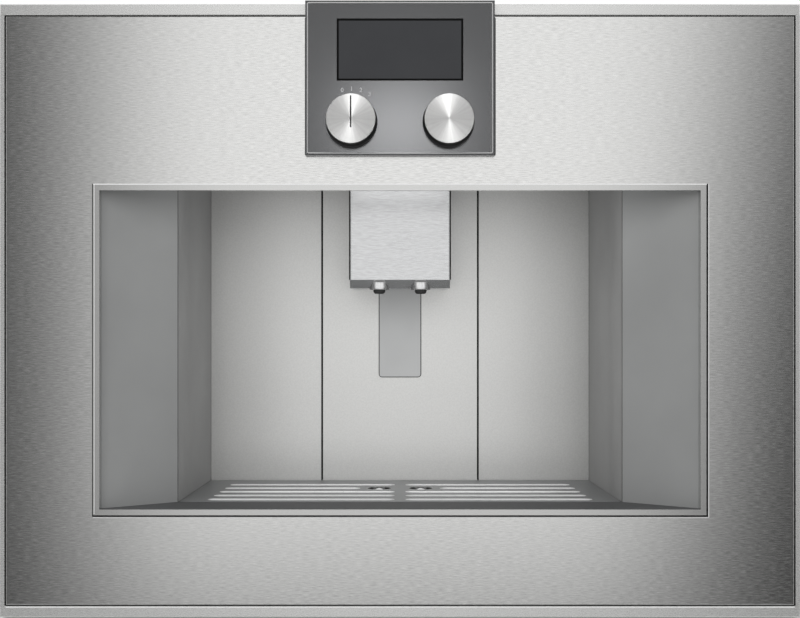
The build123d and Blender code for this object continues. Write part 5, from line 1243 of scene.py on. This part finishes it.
def slot_band(x0, x1, y):
    """A thin bright band of painted highlight that lines one slot, from just above the plate's upper face
    down to its lower one.
    """
    reach = SLOT_WIDTH / 2
    profile = flat_profile(-BAND_WALL, 0.0, BAND_RISE, BAND_RISE - BAND_HEIGHT)
    rim = framed((x0, -reach), (x1, reach), reach, profile, 0.0, steps=8)
    return np.stack([rim[..., 0], y + rim[..., 2], grid_high.z - rim[..., 1]], axis=-1)


slot_highlight_bands = []
for row in range(SLOT_ROWS):
    y = grid_low.y + FIRST_SLOT + row * SLOT_PITCH
    outer = grid_high.x - SLOT_INSET - row * SLOT_STEP
    inner = cup_x + DRAIN_RADIUS + DRAIN_LAND if row == DRAIN_ROW else SLOT_INNER
    slot_highlight_bands += [slot_band(inner, outer, y), slot_band(-outer, -inner, y)]
grid_piece("slot_highlight_bands", slot_highlight_bands, bright_steel_and_highlight, "grid_body")

# %% [markdown]
# ## The grid's front lip
# The grid's front edge is in the shade of the door and nearly black in the photograph. A thin dark lip
# in front of it says so, and it rises with the grid.

# %% Lip in front of the grid
LIP_WALL = 0.4 * MM
LIP_SHORT = 2.0 * MM
LIP_LOW = 0.1 * MM
lip_dark = moulded("lip_dark", (0.085, 0.087, 0.088), 0.5)
lip_y = grid_low.y - LIP_WALL / 2
lip_z = (grid_low.z + grid_high.z) / 2
lip = bar(
    (grid_low.x + LIP_SHORT, lip_y, lip_z), (grid_high.x - LIP_SHORT, lip_y, lip_z), LIP_WALL / 2,
    (grid_high.z - grid_low.z) / 2 - LIP_LOW, UPWARDS,
)
grid_piece("grid_lip", [lip], lip_dark, "grid_body")

# %% [markdown]
# ## Drain cups
# Under each nozzle a dished cup leads the drips away, with a small strainer button in its middle. The
# dish's steel is nearly black: painted shade for its hollow. The dish's inside is a quarter of an ellipse:
# its height above the outlet is 1 minus the root of 1 minus s squared, where s runs from 0 at the outlet to 1
# at the rim. The button's top is a shallow dome, whose height falls with the square of the radius.

# %% Dish the cups and turn their buttons
CUP_WALL = 1.0 * MM
CUP_DEPTH = 7.0 * MM
CUP_OUTLET = 3.0 * MM
BUTTON_RADIUS = 4.2 * MM
BUTTON_DOME = 1.6 * MM
BUTTON_HEIGHT = 2.6 * MM
STEM_RADIUS = 1.2 * MM
STEM_SHORT = 0.3 * MM

span = cup_rim - CUP_WALL - CUP_OUTLET
floor_z = cups_low.z + CUP_WALL
cup_profile = [(cup_rim, cups_high.z), (cup_rim, grid_low.z)]
cup_profile += [(CUP_OUTLET + CUP_WALL, cups_low.z), (CUP_OUTLET, cups_low.z), (CUP_OUTLET, floor_z)]
cup_profile += [
    (CUP_OUTLET + span * s, floor_z + (CUP_DEPTH - CUP_WALL) * (1 - math.sqrt(1 - s * s)))
    for s in np.linspace(0.0, 1.0, 12)[1:]
]
# Painted shade: the dish's steel is made nearly black for the shadow in its hollow.
cup_shade_steel = satin_steel("cup_shade_steel", (0.10, 0.10, 0.10), 0.18, metallic=1.0)
cup_places = [(side * cup_x, cup_y, 0.0) for side in (-1, 1)]
cups = [turned(cup_profile, place) for place in cup_places]
grid_piece("cup_dishes", cups, cup_shade_steel, "grid_body", ["drain_cups"])

head_low, stem_low = cups_high.z - BUTTON_HEIGHT, cups_low.z + STEM_SHORT
button_profile = [(BUTTON_RADIUS * s, cups_high.z - BUTTON_DOME * s * s) for s in np.linspace(0.0, 1.0, 8)]
button_profile += [(BUTTON_RADIUS, head_low), (STEM_RADIUS, head_low)]
button_profile += [(STEM_RADIUS, stem_low), (0.0, stem_low)]
buttons = [turned(button_profile, place, turns=48) for place in cup_places]
grid_piece("cup_buttons", buttons, bright_steel_and_highlight, "grid_body", wrap=AROUND)

# %% [markdown]
# ## Feet
# The feet are moulded rubber with grooves that let them grip, again a turned profile. Its radius is the
# foot's own, less the root of a sine wave wherever that wave is above zero, which gives grooves with
# round floors and lands between them.

# %% Turn the feet
FOOT_RADIUS = 15.0 * MM
FOOT_GROOVES = 3
GROOVE_DEPTH = 0.8 * MM

feet_low, feet_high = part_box("feet")
foot_height = feet_high.z - feet_low.z
levels = np.linspace(0.0, 1.0, 25)
wave = np.sin(levels * FOOT_GROOVES * 2 * np.pi - np.pi / 2)
waist = GROOVE_DEPTH * np.maximum(0.0, wave) ** 0.5
foot_profile = [(0.0, feet_low.z)]
foot_profile += [(FOOT_RADIUS - w, feet_low.z + foot_height * s) for s, w in zip(levels, waist)]
foot_profile += [(0.0, feet_high.z)]
foot_x = feet_high.x - FOOT_RADIUS
foot_ys = (feet_low.y + FOOT_RADIUS, feet_high.y - FOOT_RADIUS)
foot_places = [(side * foot_x, y, 0.0) for side in (-1, 1) for y in foot_ys]
feet = [turned(foot_profile, place, turns=72) for place in foot_places]
grid_piece("rubber_feet", feet, soft_black, "chassis", ["feet"], AROUND)

# %% [markdown]
# ## Screws
# A screw's head is a shallow dome with a cross recess, and there the height depends on both numbers of
# the grid. A point inside either bar of the cross sinks, and one outside stays on the head. The bars'
# sides slope a little, because a step straight down would tear the grid's squares.

# %% Helpers for screws
HEAD_RADIUS = 4.0 * MM
HEAD_STEPS = 28
HEAD_DOME = 0.45 * MM
RECESS_HALF = 0.55 * MM     # half of a bar's width
RECESS_REACH = 2.4 * MM     # half of its length
RECESS_DEPTH = 1.2 * MM
SIDE_SLOPE, END_SLOPE = 0.15 * MM, 0.3 * MM
head_radii = np.linspace(0.0, HEAD_RADIUS, HEAD_STEPS)


def step_down(value, edge, soft):
    """1 below an edge, 0 above it, and a straight slope as wide as soft between them."""
    return np.clip((edge - value) / soft + 0.5, 0.0, 1.0)


def screw(profile, place, axis, inward):
    """A turned screw whose head is sunk along its axis by the recess's depth times the cross.

    The cross is 1 where the nearer of the two distances from the bars' middle lines is inside a bar's
    half width and the further one is inside its reach."""
    grid = turned(profile, place, axis, turns=72)
    across, up, out = (np.array(direction, float) for direction in AXES[axis])
    head = grid[:, :HEAD_STEPS]
    a, b = (np.abs((head - np.array(place)) @ direction) for direction in (across, up))
    inside_bar = step_down(np.minimum(a, b), RECESS_HALF, SIDE_SLOPE)
    cross = inside_bar * step_down(np.maximum(a, b), RECESS_REACH, END_SLOPE)
    head += (inward * RECESS_DEPTH * cross)[..., None] * out
    return grid


# %% [markdown]
# ## Screws on the case and on the door
# Six domed screws hold the top cover, and six flat ones hold the liner to the door from behind. Their
# places come from the corners of the nodes they stand for.

# %% Turn the screws
SHANK_RADIUS = 2.0 * MM
SHANK_LENGTH = 24.0 * MM
HEAD_SINK = 2.0 * MM

top_low, top_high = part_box("top_screws")
top_profile = [(r, top_high.z - HEAD_DOME * (r / HEAD_RADIUS) ** 2) for r in head_radii]
top_profile += [(HEAD_RADIUS, top_low.z), (0.0, top_low.z)]
top_xs = (top_low.x + HEAD_RADIUS, top_high.x - HEAD_RADIUS)
top_ys = (top_low.y + HEAD_RADIUS, (top_low.y + top_high.y) / 2, top_high.y - HEAD_RADIUS)
cover_screws = [screw(top_profile, (sx, sy, 0.0), "z", -1.0) for sx in top_xs for sy in top_ys]
grid_piece("cover_screws", cover_screws, polished_steel, "chassis", ["top_screws"], AROUND)

rear_low, rear_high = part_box("door_screws")
rear_profile = [(r, 0.0) for r in head_radii]
rear_profile += [(SHANK_RADIUS, HEAD_SINK), (SHANK_RADIUS, SHANK_LENGTH), (0.0, SHANK_LENGTH)]
rear_xs = (rear_low.x + HEAD_RADIUS, rear_high.x - HEAD_RADIUS)
rear_zs = (rear_low.z + HEAD_RADIUS, (rear_low.z + rear_high.z) / 2, rear_high.z - HEAD_RADIUS)
liner_screws = [screw(rear_profile, (sx, rear_high.y, sz), "y", 1.0) for sx in rear_xs for sz in rear_zs]
grid_piece("liner_screws", liner_screws, polished_steel, "door", ["door_screws"], AROUND)
